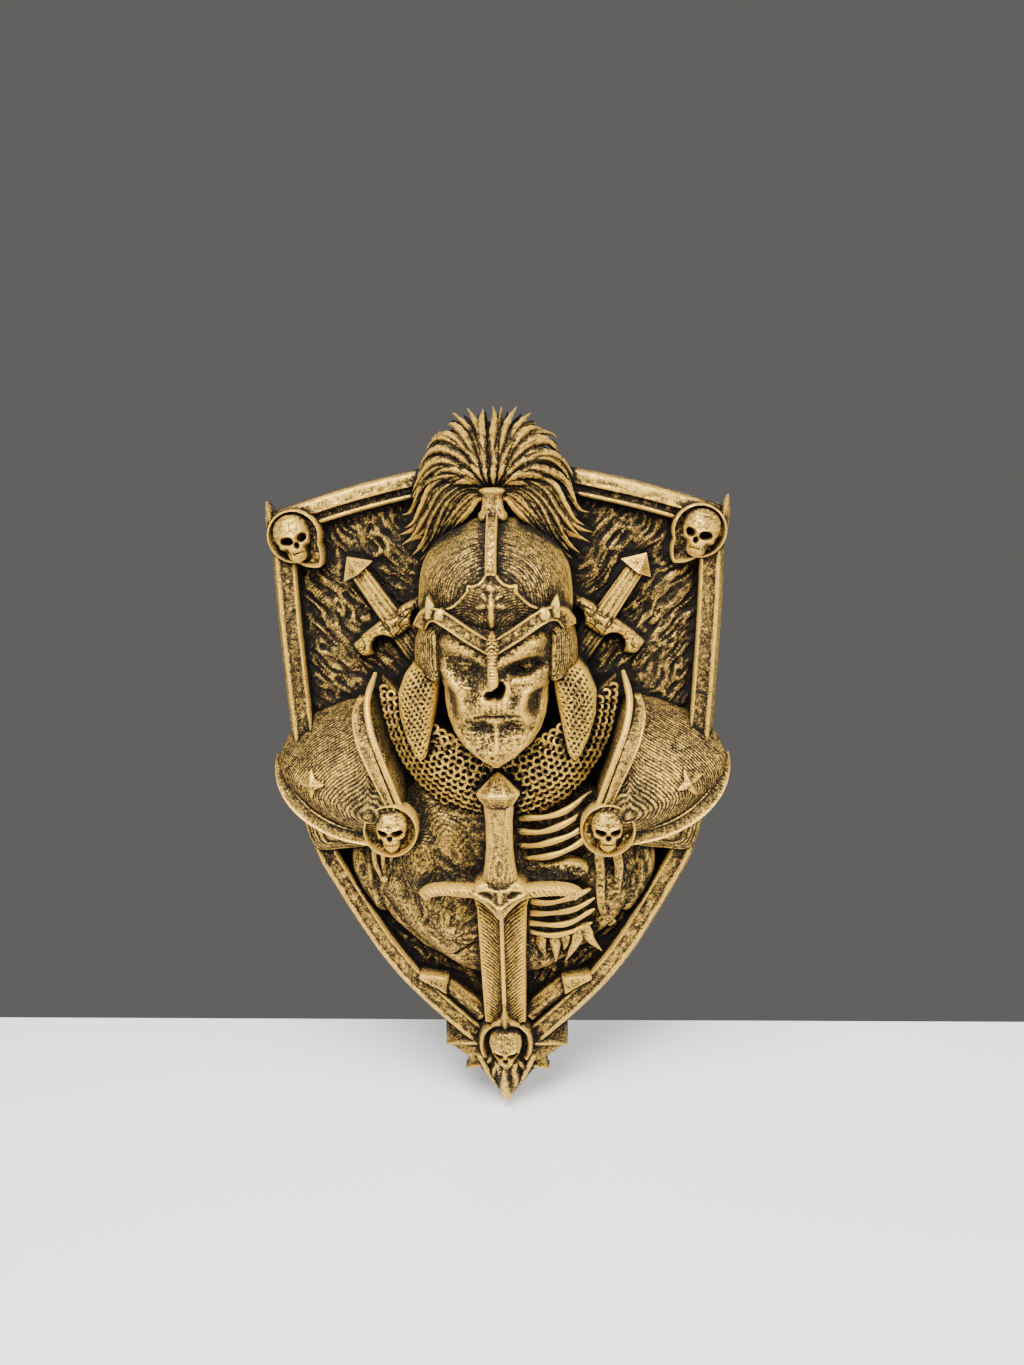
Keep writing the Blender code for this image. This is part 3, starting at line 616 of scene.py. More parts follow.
def dry_brush_group() -> bpy.types.NodeTree:
    """The shared paint effect: where gold sits on the black coat, with painted shade in the hollows, and the
    print's fine relief.

    Returns:
        The node group, made once.
    """
    name = "dry_brushed_gold"
    if name in bpy.data.node_groups:
        return bpy.data.node_groups[name]
    tree = bpy.data.node_groups.new(name, "ShaderNodeTree")
    for label, default in (
        ("Crest", 0.0), ("Hollow", 0.0), ("Coverage", 0.5), ("Contrast", 1.0), ("Streaks", 0.6),
        ("Layers", 0.25),
    ):
        socket = tree.interface.new_socket(label, in_out="INPUT", socket_type="NodeSocketFloat")
        socket.default_value = default
    tree.interface.new_socket("Gold", in_out="OUTPUT", socket_type="NodeSocketFloat")
    tree.interface.new_socket("Height", in_out="OUTPUT", socket_type="NodeSocketFloat")
    nodes, links = tree.nodes, tree.links
    given, result = nodes.new("NodeGroupInput"), nodes.new("NodeGroupOutput")
    places = nodes.new("ShaderNodeTexCoord")

    def sum_of(*terms: bpy.types.NodeSocket | float, operation: str = "ADD") -> bpy.types.NodeSocket:
        """Folds sockets and numbers together with one math operation."""
        total = terms[0]
        for term in terms[1:]:
            node = nodes.new("ShaderNodeMath")
            node.operation = operation
            for socket, value in zip(node.inputs, (total, term)):
                if isinstance(value, (int, float)):
                    socket.default_value = value
                else:
                    links.new(value, socket)
            total = node.outputs[0]
        return total

    def noise(scale: float, detail: float, source: bpy.types.NodeSocket) -> bpy.types.NodeSocket:
        """Centred noise on the object's coordinates."""
        node = add_node(tree, "TexNoise", Scale=scale, Detail=detail, Roughness=0.62)
        links.new(source, node.inputs["Vector"])
        return sum_of(node.outputs["Fac"], -0.5)

    stretch = nodes.new("ShaderNodeVectorMath")
    stretch.operation = "MULTIPLY"
    links.new(places.outputs["Object"], stretch.inputs[0])
    stretch.inputs[1].default_value = (0.14, 1.0, 0.14)
    speckle = noise(2300, 4, places.outputs["Object"])
    mottle = noise(900, 3, places.outputs["Object"])
    patches = noise(90, 2, places.outputs["Object"])
    streaks = noise(2300, 2, stretch.outputs["Vector"])

    split = nodes.new("ShaderNodeSeparateXYZ")
    links.new(places.outputs["Object"], split.inputs[0])
    lift = sum_of(split.outputs["Y"], 1 / LAYER_STEP, operation="MULTIPLY")
    wave = sum_of(sum_of(lift, 2 * math.pi, operation="MULTIPLY"), 0.0, operation="SINE")
    layers = sum_of(wave, given.outputs["Layers"], 0.5, operation="MULTIPLY")

    # Gold on raised edges from crest; from hollow, the black coat and painted shade in recesses and beside
    # taller parts
    relief = sum_of(
        sum_of(given.outputs["Crest"], 0.40, operation="MULTIPLY"),
        sum_of(given.outputs["Hollow"], 0.24, operation="MULTIPLY"),
    )
    total = sum_of(
        sum_of(relief, given.outputs["Contrast"], operation="MULTIPLY"),
        given.outputs["Coverage"],
        sum_of(speckle, 2.3, operation="MULTIPLY"),
        sum_of(mottle, 1.1, operation="MULTIPLY"),
        sum_of(patches, 0.3, operation="MULTIPLY"),
        sum_of(streaks, given.outputs["Streaks"], operation="MULTIPLY"),
        sum_of(layers, 0.5, operation="MULTIPLY"),
    )
    clamp = nodes.new("ShaderNodeClamp")
    links.new(total, clamp.inputs["Value"])
    links.new(clamp.outputs["Result"], result.inputs["Gold"])
    links.new(sum_of(sum_of(layers, 0.8, operation="MULTIPLY"), speckle, mottle), result.inputs["Height"])
    return tree


@dataclass
class Depths:
    """A map of how far the whole front stands out, from which each point learns how exposed it is."""

    cell: float = 0.3
    margin: float = 4.0
    wall: float = -1.5
    # Radius in mm, height that counts as much, and weight, for the two attributes
    fine: tuple[tuple[float, float, float], ...] = ((0.5, 0.12, 0.5), (1.1, 0.3, 0.5))
    # broad feeds hollow: painted shade in recesses and beside taller parts, over the black coat there
    broad: tuple[tuple[float, float, float], ...] = ((2.4, 0.9, 0.5), (6.5, 3.0, 0.5))

    def paint(self, pieces: Sequence[bpy.types.Object]) -> None:
        """Writes the attributes crest and hollow on every piece.

        Args:
            pieces: The pieces of the plaque.
        """
        places = {piece.name: self._places(piece.data) for piece in pieces}
        samples = np.concatenate([self._samples(piece.data, places[piece.name]) for piece in pieces])
        low = samples[:, :2].min(axis=0) - self.margin
        size = np.ceil((samples[:, :2].max(axis=0) + self.margin - low) / self.cell).astype(int)
        heights = np.full(size, -np.inf)
        cells = ((samples[:, :2] - low) / self.cell).astype(int)
        np.maximum.at(heights, (cells[:, 0], cells[:, 1]), samples[:, 2])
        heights = self._fill(heights)
        blurred = {radius: self._blur(heights, radius) for radius, _, _ in (*self.fine, *self.broad)}
        for piece in pieces:
            where = (places[piece.name][:, :2] - low) / self.cell - 0.5
            # hollow: the black coat in recesses and painted shade beside taller parts, both darker below the
            # broad average
            for name, terms in (("crest", self.fine), ("hollow", self.broad)):
                value = np.zeros(len(where))
                for radius, much, weight in terms:
                    above = places[piece.name][:, 2] - self._read(blurred[radius], where)
                    value += weight * np.tanh(above / much)
                attribute = piece.data.attributes.new(name, "FLOAT", "POINT")
                attribute.data.foreach_set("value", value.astype(np.float32))

    @staticmethod
    def _places(mesh: bpy.types.Mesh) -> Array:
        """The mesh's vertices as (x, z, height) in millimetres."""
        flat = np.empty(len(mesh.vertices) * 3, np.float32)
        mesh.vertices.foreach_get("co", flat)
        x, y, z = flat.reshape(-1, 3).T / MM
        return np.stack([x, z, -y], axis=1)

    @staticmethod
    def _samples(mesh: bpy.types.Mesh, places: Array) -> Array:
        """The vertices, and points spread over each triangle."""
        mesh.calc_loop_triangles()
        corners = np.empty(len(mesh.loop_triangles) * 3, np.int32)
        mesh.loop_triangles.foreach_get("vertices", corners)
        a, b, c = places[corners.reshape(-1, 3)].transpose(1, 0, 2)
        longest = np.maximum(np.linalg.norm(b - a, axis=1), np.linalg.norm(c - a, axis=1))
        spread = [places, (a + b) / 2, (b + c) / 2, (c + a) / 2, (a + b + c) / 3]
        for low, high, count in ((1.0, 3.0, 10), (3.0, 12.0, 40)):
            wide = (longest > low) & (longest <= high)
            steps = np.linspace(0, 1, count)
            out, along = (share.ravel()[None, :, None] for share in np.meshgrid(steps, steps))
            first, second = (b - a)[wide, None] * out * along, (c - a)[wide, None] * out * (1 - along)
            spread.append((a[wide, None] + first + second).reshape(-1, 3))
        return np.concatenate(spread)

    def _fill(self, heights: Array) -> Array:
        """Closes pinholes of the map, and sets what lies off the plaque to the wall."""
        for _ in range(2):
            framed = np.pad(heights, 1, constant_values=-np.inf)
            around = np.stack([framed[1 + i : framed.shape[0] - 1 + i, 1 + j : framed.shape[1] - 1 + j]
                               for i in (-1, 0, 1) for j in (-1, 0, 1)])
            heights = np.where(np.isinf(heights), around.max(axis=0), heights)
        return np.where(np.isinf(heights), self.wall, heights)

    def _blur(self, heights: Array, radius: float) -> Array:
        """The map softened by three passes of a box."""
        reach = max(1, round(radius / self.cell / 1.4))
        for _ in range(3):
            for axis in (0, 1):
                ends = [(reach + 1, reach) if k == axis else (0, 0) for k in (0, 1)]
                total = np.cumsum(np.pad(heights, ends, mode="edge"), axis=axis)
                width = 2 * reach + 1
                if axis == 0:
                    heights = (total[width:] - total[:-width]) / width
                else:
                    heights = (total[:, width:] - total[:, :-width]) / width
        return heights

    @staticmethod
    def _read(heights: Array, where: Array) -> Array:
        """The map's value between its cells."""
        limit = np.array(heights.shape) - 2
        corner = np.clip(np.floor(where).astype(int), 0, limit)
        share = np.clip(where - corner, 0, 1)
        i, j = corner.T
        low = heights[i, j] * (1 - share[:, 0]) + heights[i + 1, j] * share[:, 0]
        high = heights[i, j + 1] * (1 - share[:, 0]) + heights[i + 1, j + 1] * share[:, 0]
        return low * (1 - share[:, 1]) + high * share[:, 1]


# The shield


@dataclass
class Shield:
    """The heater shield: flat back, moulded frame and scored ground."""

    ground: bpy.types.Material
    trim: bpy.types.Material
    coat: bpy.types.Material
    ground_height: float = 4.6
    frame_width: float = 7.2
    perimeter: float = 560.0
    bead_pitch: float = 8.6
    # The ground's lowest and highest z and its half-width, and the top edge's fall from the middle
    ground_foot: float = -101.0
    ground_head: float = 83.0
    ground_half: float = 59.0
    head_middle: float = 86.4
    head_fall: float = 0.232
    edge: list[Point] = field(default_factory=lambda: [
        (0, 86), (20, 82.4), (40, 77.9), (55, 73.6), (64.4, 70.6), (65.2, 62), (65.1, 45), (64.2, 25),
        (63.0, 5), (61.4, -15), (58, -33), (52.2, -45), (46.4, -55.6), (40.4, -65.6), (33.6, -75),
        (27, -82.4), (20, -89.4), (11, -97.6), (0, -106),
    ])
    # The frame's section on the long sides and along the top, as (how far in, height)
    side_section: list[Point] = field(default_factory=lambda: [
        (0, 3.6), (0, 5.6), (0.2, 6.2), (1.5, 8.8), (1.8, 9.15), (2.4, 9.15), (2.65, 8.8), (2.85, 8.55),
        (6.1, 8.55), (6.3, 8.9), (6.55, 9.15), (6.9, 9.1), (7.15, 8.4), (7.5, 4.6), (7.9, 4.0), (7.9, 3.6),
        (0, 3.6),
    ])
    top_section: list[Point] = field(default_factory=lambda: [
        (0, 3.6), (0, 5.6), (0.2, 7.4), (0.7, 8.5), (1.3, 8.8), (4.0, 9.15), (4.2, 8.8), (4.4, 7.4),
        (6.2, 7.5), (6.4, 8.5), (6.7, 8.8), (7.1, 8.6), (7.4, 8.2), (7.7, 4.6), (8.1, 4.0), (8.1, 3.6),
        (0, 3.6),
    ])

    def build(self) -> Iterator[bpy.types.Object]:
        """Makes the shield's pieces.

        Yields:
            Each finished piece.
        """
        yield self._back()
        yield self._panel()
        yield self._frame()
        yield self._horns()

    def _half_edge(self) -> list[Point]:
        """The right half of the edge, smoothed along the top and down the side."""
        top, side = smooth(self.edge[:5], 24), smooth(self.edge[4:], 90)
        return [(float(x), float(z)) for x, z in (*top, *side[1:])]

    def _back(self) -> bpy.types.Object:
        """The plain back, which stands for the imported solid."""
        piece = Casting("shield_back")
        piece.slab(both_halves(self.edge), 0.0, 5.4, [(0.3, 0.2), (6.4, 0.0), (0.8, -2.6)])
        back = piece.finish(self.coat)
        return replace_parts(back, NODE)

    def _panel(self) -> bpy.types.Object:
        """The sunk ground, scored all over with wavy strokes."""
        right = [(x, z) for x, z in self._half_edge() if z < 70.7]

        def ground(u: Array, v: Array) -> Places:
            """The panel's places."""
            z = self.ground_foot + (self.ground_head - self.ground_foot) * (v + 1) / 2
            half = value_at(right, z) - self.frame_width
            x = np.clip(u * self.ground_half, -half, half)
            z = np.minimum(z, self.head_middle - self.head_fall * np.abs(x) - self.frame_width)
            return x, z, self.ground_height + self._scoring(x, z)

        piece = Casting("shield_ground")
        piece.patch(200, 316, ground, 3.0)
        return piece.finish(self.ground)

    @staticmethod
    def _scoring(x: Array, z: Array) -> Array:
        """Wavy strokes, like hammered and scratched leather."""
        warp_x = np.abs(x) + 2.2 * grain(x, z, 9, 11) + 0.5 * grain(x, z, 3.0, 12)
        warp_z = z + 2.2 * grain(x, z, 9, 13) + 0.5 * grain(x, z, 3.0, 14)
        along, across = 0.67 * warp_x + 0.74 * warp_z, 0.74 * warp_x - 0.67 * warp_z
        strokes = 1 - 2.4 * np.abs(grain(across / 1.5, along / 5.2, 1.0, 16))
        strokes += 0.5 * (1 - 2.4 * np.abs(grain(across / 0.9, along / 3.0, 1.0, 17)))
        waves = grain(x, z, 6, 18) + 0.6 * grain(x, z, 2.4, 19)
        return 0.5 * strokes + 0.26 * waves

    def _frame(self) -> bpy.types.Object:
        """The moulded frame: a bevelled rim, a beaded channel and an inner rib."""
        edge = self._half_edge()
        path = even(np.asarray([*both_halves(edge), edge[0]], float), 901)[:-1]
        run = np.roll(path, -1, axis=0) - np.roll(path, 1, axis=0)
        run /= np.linalg.norm(run, axis=1, keepdims=True)
        inward = np.stack([run[:, 1], -run[:, 0]], axis=1)
        count = len(path)
        section = np.linspace(0, 1, 55)
        side, top = (even(np.asarray(shape, float), 55) for shape in (self.side_section, self.top_section))

        def moulding(u: Array, v: Array) -> Places:
            """The frame's places: v runs round it and u across it."""
            i = np.rint((v + 1) / 2 * count).astype(int) % count
            s = (u + 1) / 2
            px, pz = path[i].T
            upper = ramp(pz, 70.0, 71.6)
            reach, height = (
                np.interp(s, section, side[:, k]) * (1 - upper) + np.interp(s, section, top[:, k]) * upper
                for k in (0, 1)
            )
            x, z = px + inward[i, 0] * reach, pz + inward[i, 1] * reach
            channel = ramp(reach, 2.9, 3.3) * (1 - ramp(reach, 5.9, 6.3))
            rough = 0.08 * grain(x, z, 0.8, 21) + 0.08 * grain(x, z, 1.9, 22)
            stud = np.abs(i / count * self.perimeter % self.bead_pitch - self.bead_pitch / 2)
            beads = 0.45 * np.exp(-((stud / 0.5) ** 2) - ((reach - 4.6) / 0.5) ** 2)
            height = height + channel * rough * (1 + 3 * upper) + beads
            worn = 0.14 * grain(x, z, 2.6, 23) + 0.08 * grain(x, z, 0.8, 24)
            return x, z, height + worn * ramp(reach, 0.4, 1.0) * (height > 3.7)

        piece = Casting("shield_frame")
        piece.grid(54, count, moulding)
        return piece.finish(self.trim)

    def _horns(self) -> bpy.types.Object:
        """The flame-like spike at each shoulder of the shield."""
        piece = Casting("shield_horns")
        shape = [(60.6, 62), (60.9, 68.2), (63.6, 69.4), (66.2, 74.0), (66.7, 68.4), (65.6, 60)]

        def flame(x: Array, z: Array, share: Array) -> Array:
            """Rises to a ridge along the spike's middle."""
            return 6.4 + 3.4 * (1 - share) ** 0.8

        for side in Side:
            outline = rounded(mirrored(shape, side), 60, 0.3)
            piece.disc(outline, (64.4 * side.value, 68), 60, 12, flame, 2.0)
        return piece.finish(self.trim)


# Skulls


@dataclass
class Skull:
    """A small skull, on a disc or in the foot's hood.

    base is the height of its sides, size its cranium's radius and lean its turn in degrees. gaze
    and nod shift its features sideways and down. The outline and the profile are in cranium radii.
    """

    centre: Point
    base: float
    size: float
    lean: float = 0.0
    gaze: float = 0.0
    nod: float = 0.0
    outline: list[Point] = field(default_factory=lambda: [
        (0.16, 1.24), (0.46, 1.18), (0.72, 1.02), (0.92, 0.74), (1.0, 0.36), (0.98, 0.04), (0.9, -0.2),
        (0.86, -0.4), (0.66, -0.62), (0.56, -0.84), (0.5, -1.08), (0.36, -1.27), (0.14, -1.34),
    ])
    profile: list[Point] = field(default_factory=lambda: [
        (0.25, 1.24), (0.62, 1.0), (0.88, 0.6), (1.0, 0.2), (0.96, 0.0), (0.86, -0.3), (0.86, -0.6),
        (0.8, -1.0), (0.5, -1.34),
    ])

    def add_to(self, piece: Casting, foot: float) -> None:
        """Adds the skull to a piece.

        Args:
            piece: The piece that carries it.
            foot: Height of its back.
        """
        c, s = math.cos(math.radians(self.lean)), math.sin(math.radians(self.lean))
        count = max(40, round(self.size * 13))

        def bone(u: Array, v: Array) -> Places:
            """The skull's places."""
            spread, x, z = filled(self.outline, u, v)
            height = value_at(self.profile, z) * bulge(spread, 2.5, 0.55)
            features = self._features(x - self.gaze * (1 - spread * spread), z + self.nod)
            height = height + (1 - spread**8) * features
            px, pz = x * self.size, z * self.size
            return (
                self.centre[0] + px * c - pz * s,
                self.centre[1] + px * s + pz * c,
                self.base + self.size * height,
            )

        piece.patch(count, round(count * 1.3), bone, foot)

    @staticmethod
    def _features(x: Array, z: Array) -> Array:
        """Brow, sockets, nose, cheekbones and teeth, in cranium radii."""
        total = np.zeros_like(x)
        for side in (-1, 1):
            total += knoll(x, z, (0.42 * side, 0.2), (0.4, 0.1), 0.17, turn=20 * side)
            total += knoll(x, z, (0.42 * side, -0.08), (0.29, 0.22), -0.85, turn=16 * side, edge=2.4)
            total += knoll(x, z, (0.7 * side, -0.36), (0.2, 0.12), 0.24, turn=-20 * side)
            total += knoll(x, z, (0.62 * side, -0.66), (0.14, 0.2), -0.3)
        total += knoll(x, z, (0, -0.42), (0.15, 0.17), -0.65, edge=2)
        total += knoll(x, z, (0, -0.14), (0.09, 0.16), 0.12)
        total += knoll(x, z, (0, -0.85), (0.52, 0.035), -0.16)
        gaps = 0.09 * (1 - np.abs(np.sin(x * np.pi / 0.15))) ** 2 * (np.abs(x) < 0.46)
        total -= gaps * ramp(z, -1.06, -0.98) * (1 - ramp(z, -0.72, -0.66))
        total += 0.03 * grain(x, z, 0.3, 31) + 0.02 * grain(x, z, 0.12, 32)
        return total


@dataclass
class Medallion:
    """A disc with a raised rim, a rough field and a skull.

    base is the height of its rim's foot, and point_angle the direction of a point in its outline.
    """

    centre: Point
    radius: float
    base: float
    foot: float
    skull: Skull
    point_angle: float | None = None
    point_length: float = 4.0

    def add_to(self, piece: Casting) -> None:
        """Adds the medallion to a piece."""
        angles = np.linspace(-np.pi, np.pi, 181)[:-1]
        reach = np.full_like(angles, self.radius)
        if self.point_angle is not None:
            turn = (angles - math.radians(self.point_angle) + np.pi) % (2 * np.pi) - np.pi
            reach = reach + self.point_length * np.maximum(0, 1 - np.abs(turn) / 0.56)
        outline = self.centre + reach[:, None] * np.stack([np.cos(angles), np.sin(angles)], axis=1)

        def field_of(x: Array, z: Array, share: Array) -> Array:
            """The rim and the rough ground in it."""
            rim = ramp(share, 0.90, 0.925)
            rough = 0.5 * grain(x, z, 0.9, 33) + 0.4 * grain(x, z, 1.9, 34)
            edge = -0.3 * ramp(share, 0.99, 1.0)
            return self.base + (1 - rim) * (rough - 1.9) + rim * (0.6 + 0.1 * grain(x, z, 0.8, 35)) + edge

        piece.disc(outline, self.centre, 126, 34, field_of, self.foot)
        self.skull.add_to(piece, self.foot + 0.4)


def corner_medallions(finish: bpy.types.Material) -> bpy.types.Object:
    """The skull medallions on the shield's shoulders."""
    piece = Casting("corner_medallions")
    for side in Side:
        centre = (57.7 * side.value, 63.9)
        middle = (centre[0] + 0.2 * side.value, centre[1] - 0.4)
        skull = Skull(middle, 10.0, 5.3, -15 * side.value, -0.22 * side.value)
        point = 230 if side is Side.RIGHT else 310
        Medallion(centre, 7.6, 11.0, 3.0, skull, point).add_to(piece)
    return piece.finish(finish)


def shoulder_medallions(finish: bpy.types.Material) -> bpy.types.Object:
    """The skull medallions that clasp the pauldrons."""
    piece = Casting("shoulder_medallions")
    for side in Side:
        centre = (31.4 * side.value, -20.2)
        middle = (centre[0] - 0.1 * side.value, centre[1] + 0.3)
        skull = Skull(middle, 22.6, 4.9, 0, 0.04 * side.value)
        Medallion(centre, 7.9, 24.4, 18.6, skull).add_to(piece)
    return piece.finish(finish)


# Crossed swords


@dataclass
class CrossedSwords:
    """The two swords that cross behind the head, and their ends beside the foot."""

    finish: bpy.types.Material
    pommel: Point = (41.8, 56.0)
    guard: Point = (30.2, 38.7)
    guard_half: float = 14.2

    def build(self) -> bpy.types.Object:
        """Makes both swords."""
        piece = Casting("crossed_swords")
        for side in Side:
            self._hilt(piece, side)
            self._lower_end(piece, side)
        return piece.finish(self.finish)

    def _hilt(self, piece: Casting, side: Side) -> None:
        """Pommel, grip, guard and the blade's start."""
        run = np.array([self.guard[0] - self.pommel[0], self.guard[1] - self.pommel[1]])
        run /= np.linalg.norm(run)
        across = np.array([-run[1], run[0]])

        def place(along: float, sideways: float, height: float) -> Place:
            """A place from the guard's middle, along the sword and across it."""
            x, z = np.array(self.guard) + run * along + across * sideways
            return (float(x) * side.value, float(z), height)

        piece.pyramid(place(-17.6, 0, 8.6), place(-22.8, 0, 9.2), 5.2, 8.0)
        line = even(np.array([place(-18.6, 0, 8.4), place(1.5, 0, 8.2)]), 34)
        piece.tube(line, np.linspace(2.05, 2.6, 34), 48, flat=1.15, flutes=9, depth=0.07)
        upper = [(0, -2.4), (5, -2.2), (10, -1.8), (self.guard_half, -1.0)]
        lower = [
            (0, 4.2), (3.2, 4.2), (4.0, 2.6), (5.6, 1.2), (7.4, 0.9), (9.2, 1.6), (10.4, 3.0), (11.0, 4.6),
            (13.4, 3.6), (self.guard_half, 2.6),
        ]

        def cracked(u: Array, v: Array) -> Places:
            """The guard: cracked plates with fishtail ends that hook towards the blade."""
            sideways = self.guard_half * u
            low, high = (np.interp(np.abs(sideways), *np.array(curve, float).T) for curve in (upper, lower))
            along = low + (high - low) * (v + 1) / 2
            wide, narrow = (np.abs(grain(along, sideways, *cell)) for cell in ((2.4, 42), (1.7, 44)))
            cracks = np.minimum(wide, narrow)
            bevel = bulge(v, 5, 1) * bulge(u, 24, 1)
            height = 8.0 + 2.4 * bevel + 1.0 * bell(sideways, 3.6) - 0.05 * np.abs(sideways)
            height = height - 0.6 * (1 - ramp(cracks, 0.03, 0.12)) + 0.35 * grain(along, sideways, 1.3, 41)
            x = (self.guard[0] + run[0] * along + across[0] * sideways) * side.value
            return x, self.guard[1] + run[1] * along + across[1] * sideways, height

        piece.patch(100, 30, cracked, 3.6)

        def fuller(along: Array, sideways: Array) -> Array:
            """Shallow grooves along the blade."""
            return -0.16 * np.cos(sideways * 2 * np.pi / 1.3)

        blade = [place(along, 0, 7.4) for along in (1.0, 10, 25)]
        piece.band(blade, [(-4.0, -1.4), (-3.4, -0.2), (0, 1.2), (3.4, -0.2), (4.0, -1.4)], 3.6, 0.4, fuller)

    @staticmethod
    def _lower_end(piece: Casting, side: Side) -> None:
        """The broken wedge and the bar that show beside the blade's foot."""
        corners = np.array([(18.4, -80.0), (27.0, -73.8), (17.6, -74.0), (26.2, -72.2)])

        def wedge(u: Array, v: Array) -> Places:
            """The wedge's places, between its four corners."""
            s, t = (u + 1) / 2, (v + 1) / 2
            x, z = (
                (corners[0, k] * (1 - s) + corners[1, k] * s) * (1 - t)
                + (corners[2, k] * (1 - s) + corners[3, k] * s) * t
                for k in (0, 1)
            )
            bevel = np.clip(1 - np.maximum(np.abs(u), np.abs(v)) ** 8, 0, 1)
            return x * side.value, z, 8.6 + 1.0 * bevel + 1.2 * s + 0.18 * grain(x, z, 1.1, 46)

        piece.patch(30, 22, wedge, 3.6)
        path = mirrored([(19.6, -76.6, 6.4), (14, -81.2, 6.8), (7, -87.2, 7.0)], side)

        def worn(along: Array, sideways: Array) -> Array:
            """Lengthwise wear."""
            return 0.2 * grain(along / 3, sideways, 0.7, 43)

        section = [(-3.4, -1.6), (-2.8, 0.6), (-1.2, 1.6), (0.4, 2.0), (2.4, 0.9), (3.2, -1.6)]
        piece.band(path, section, 3.6, 0.4, worn, curved=False)


# Plume


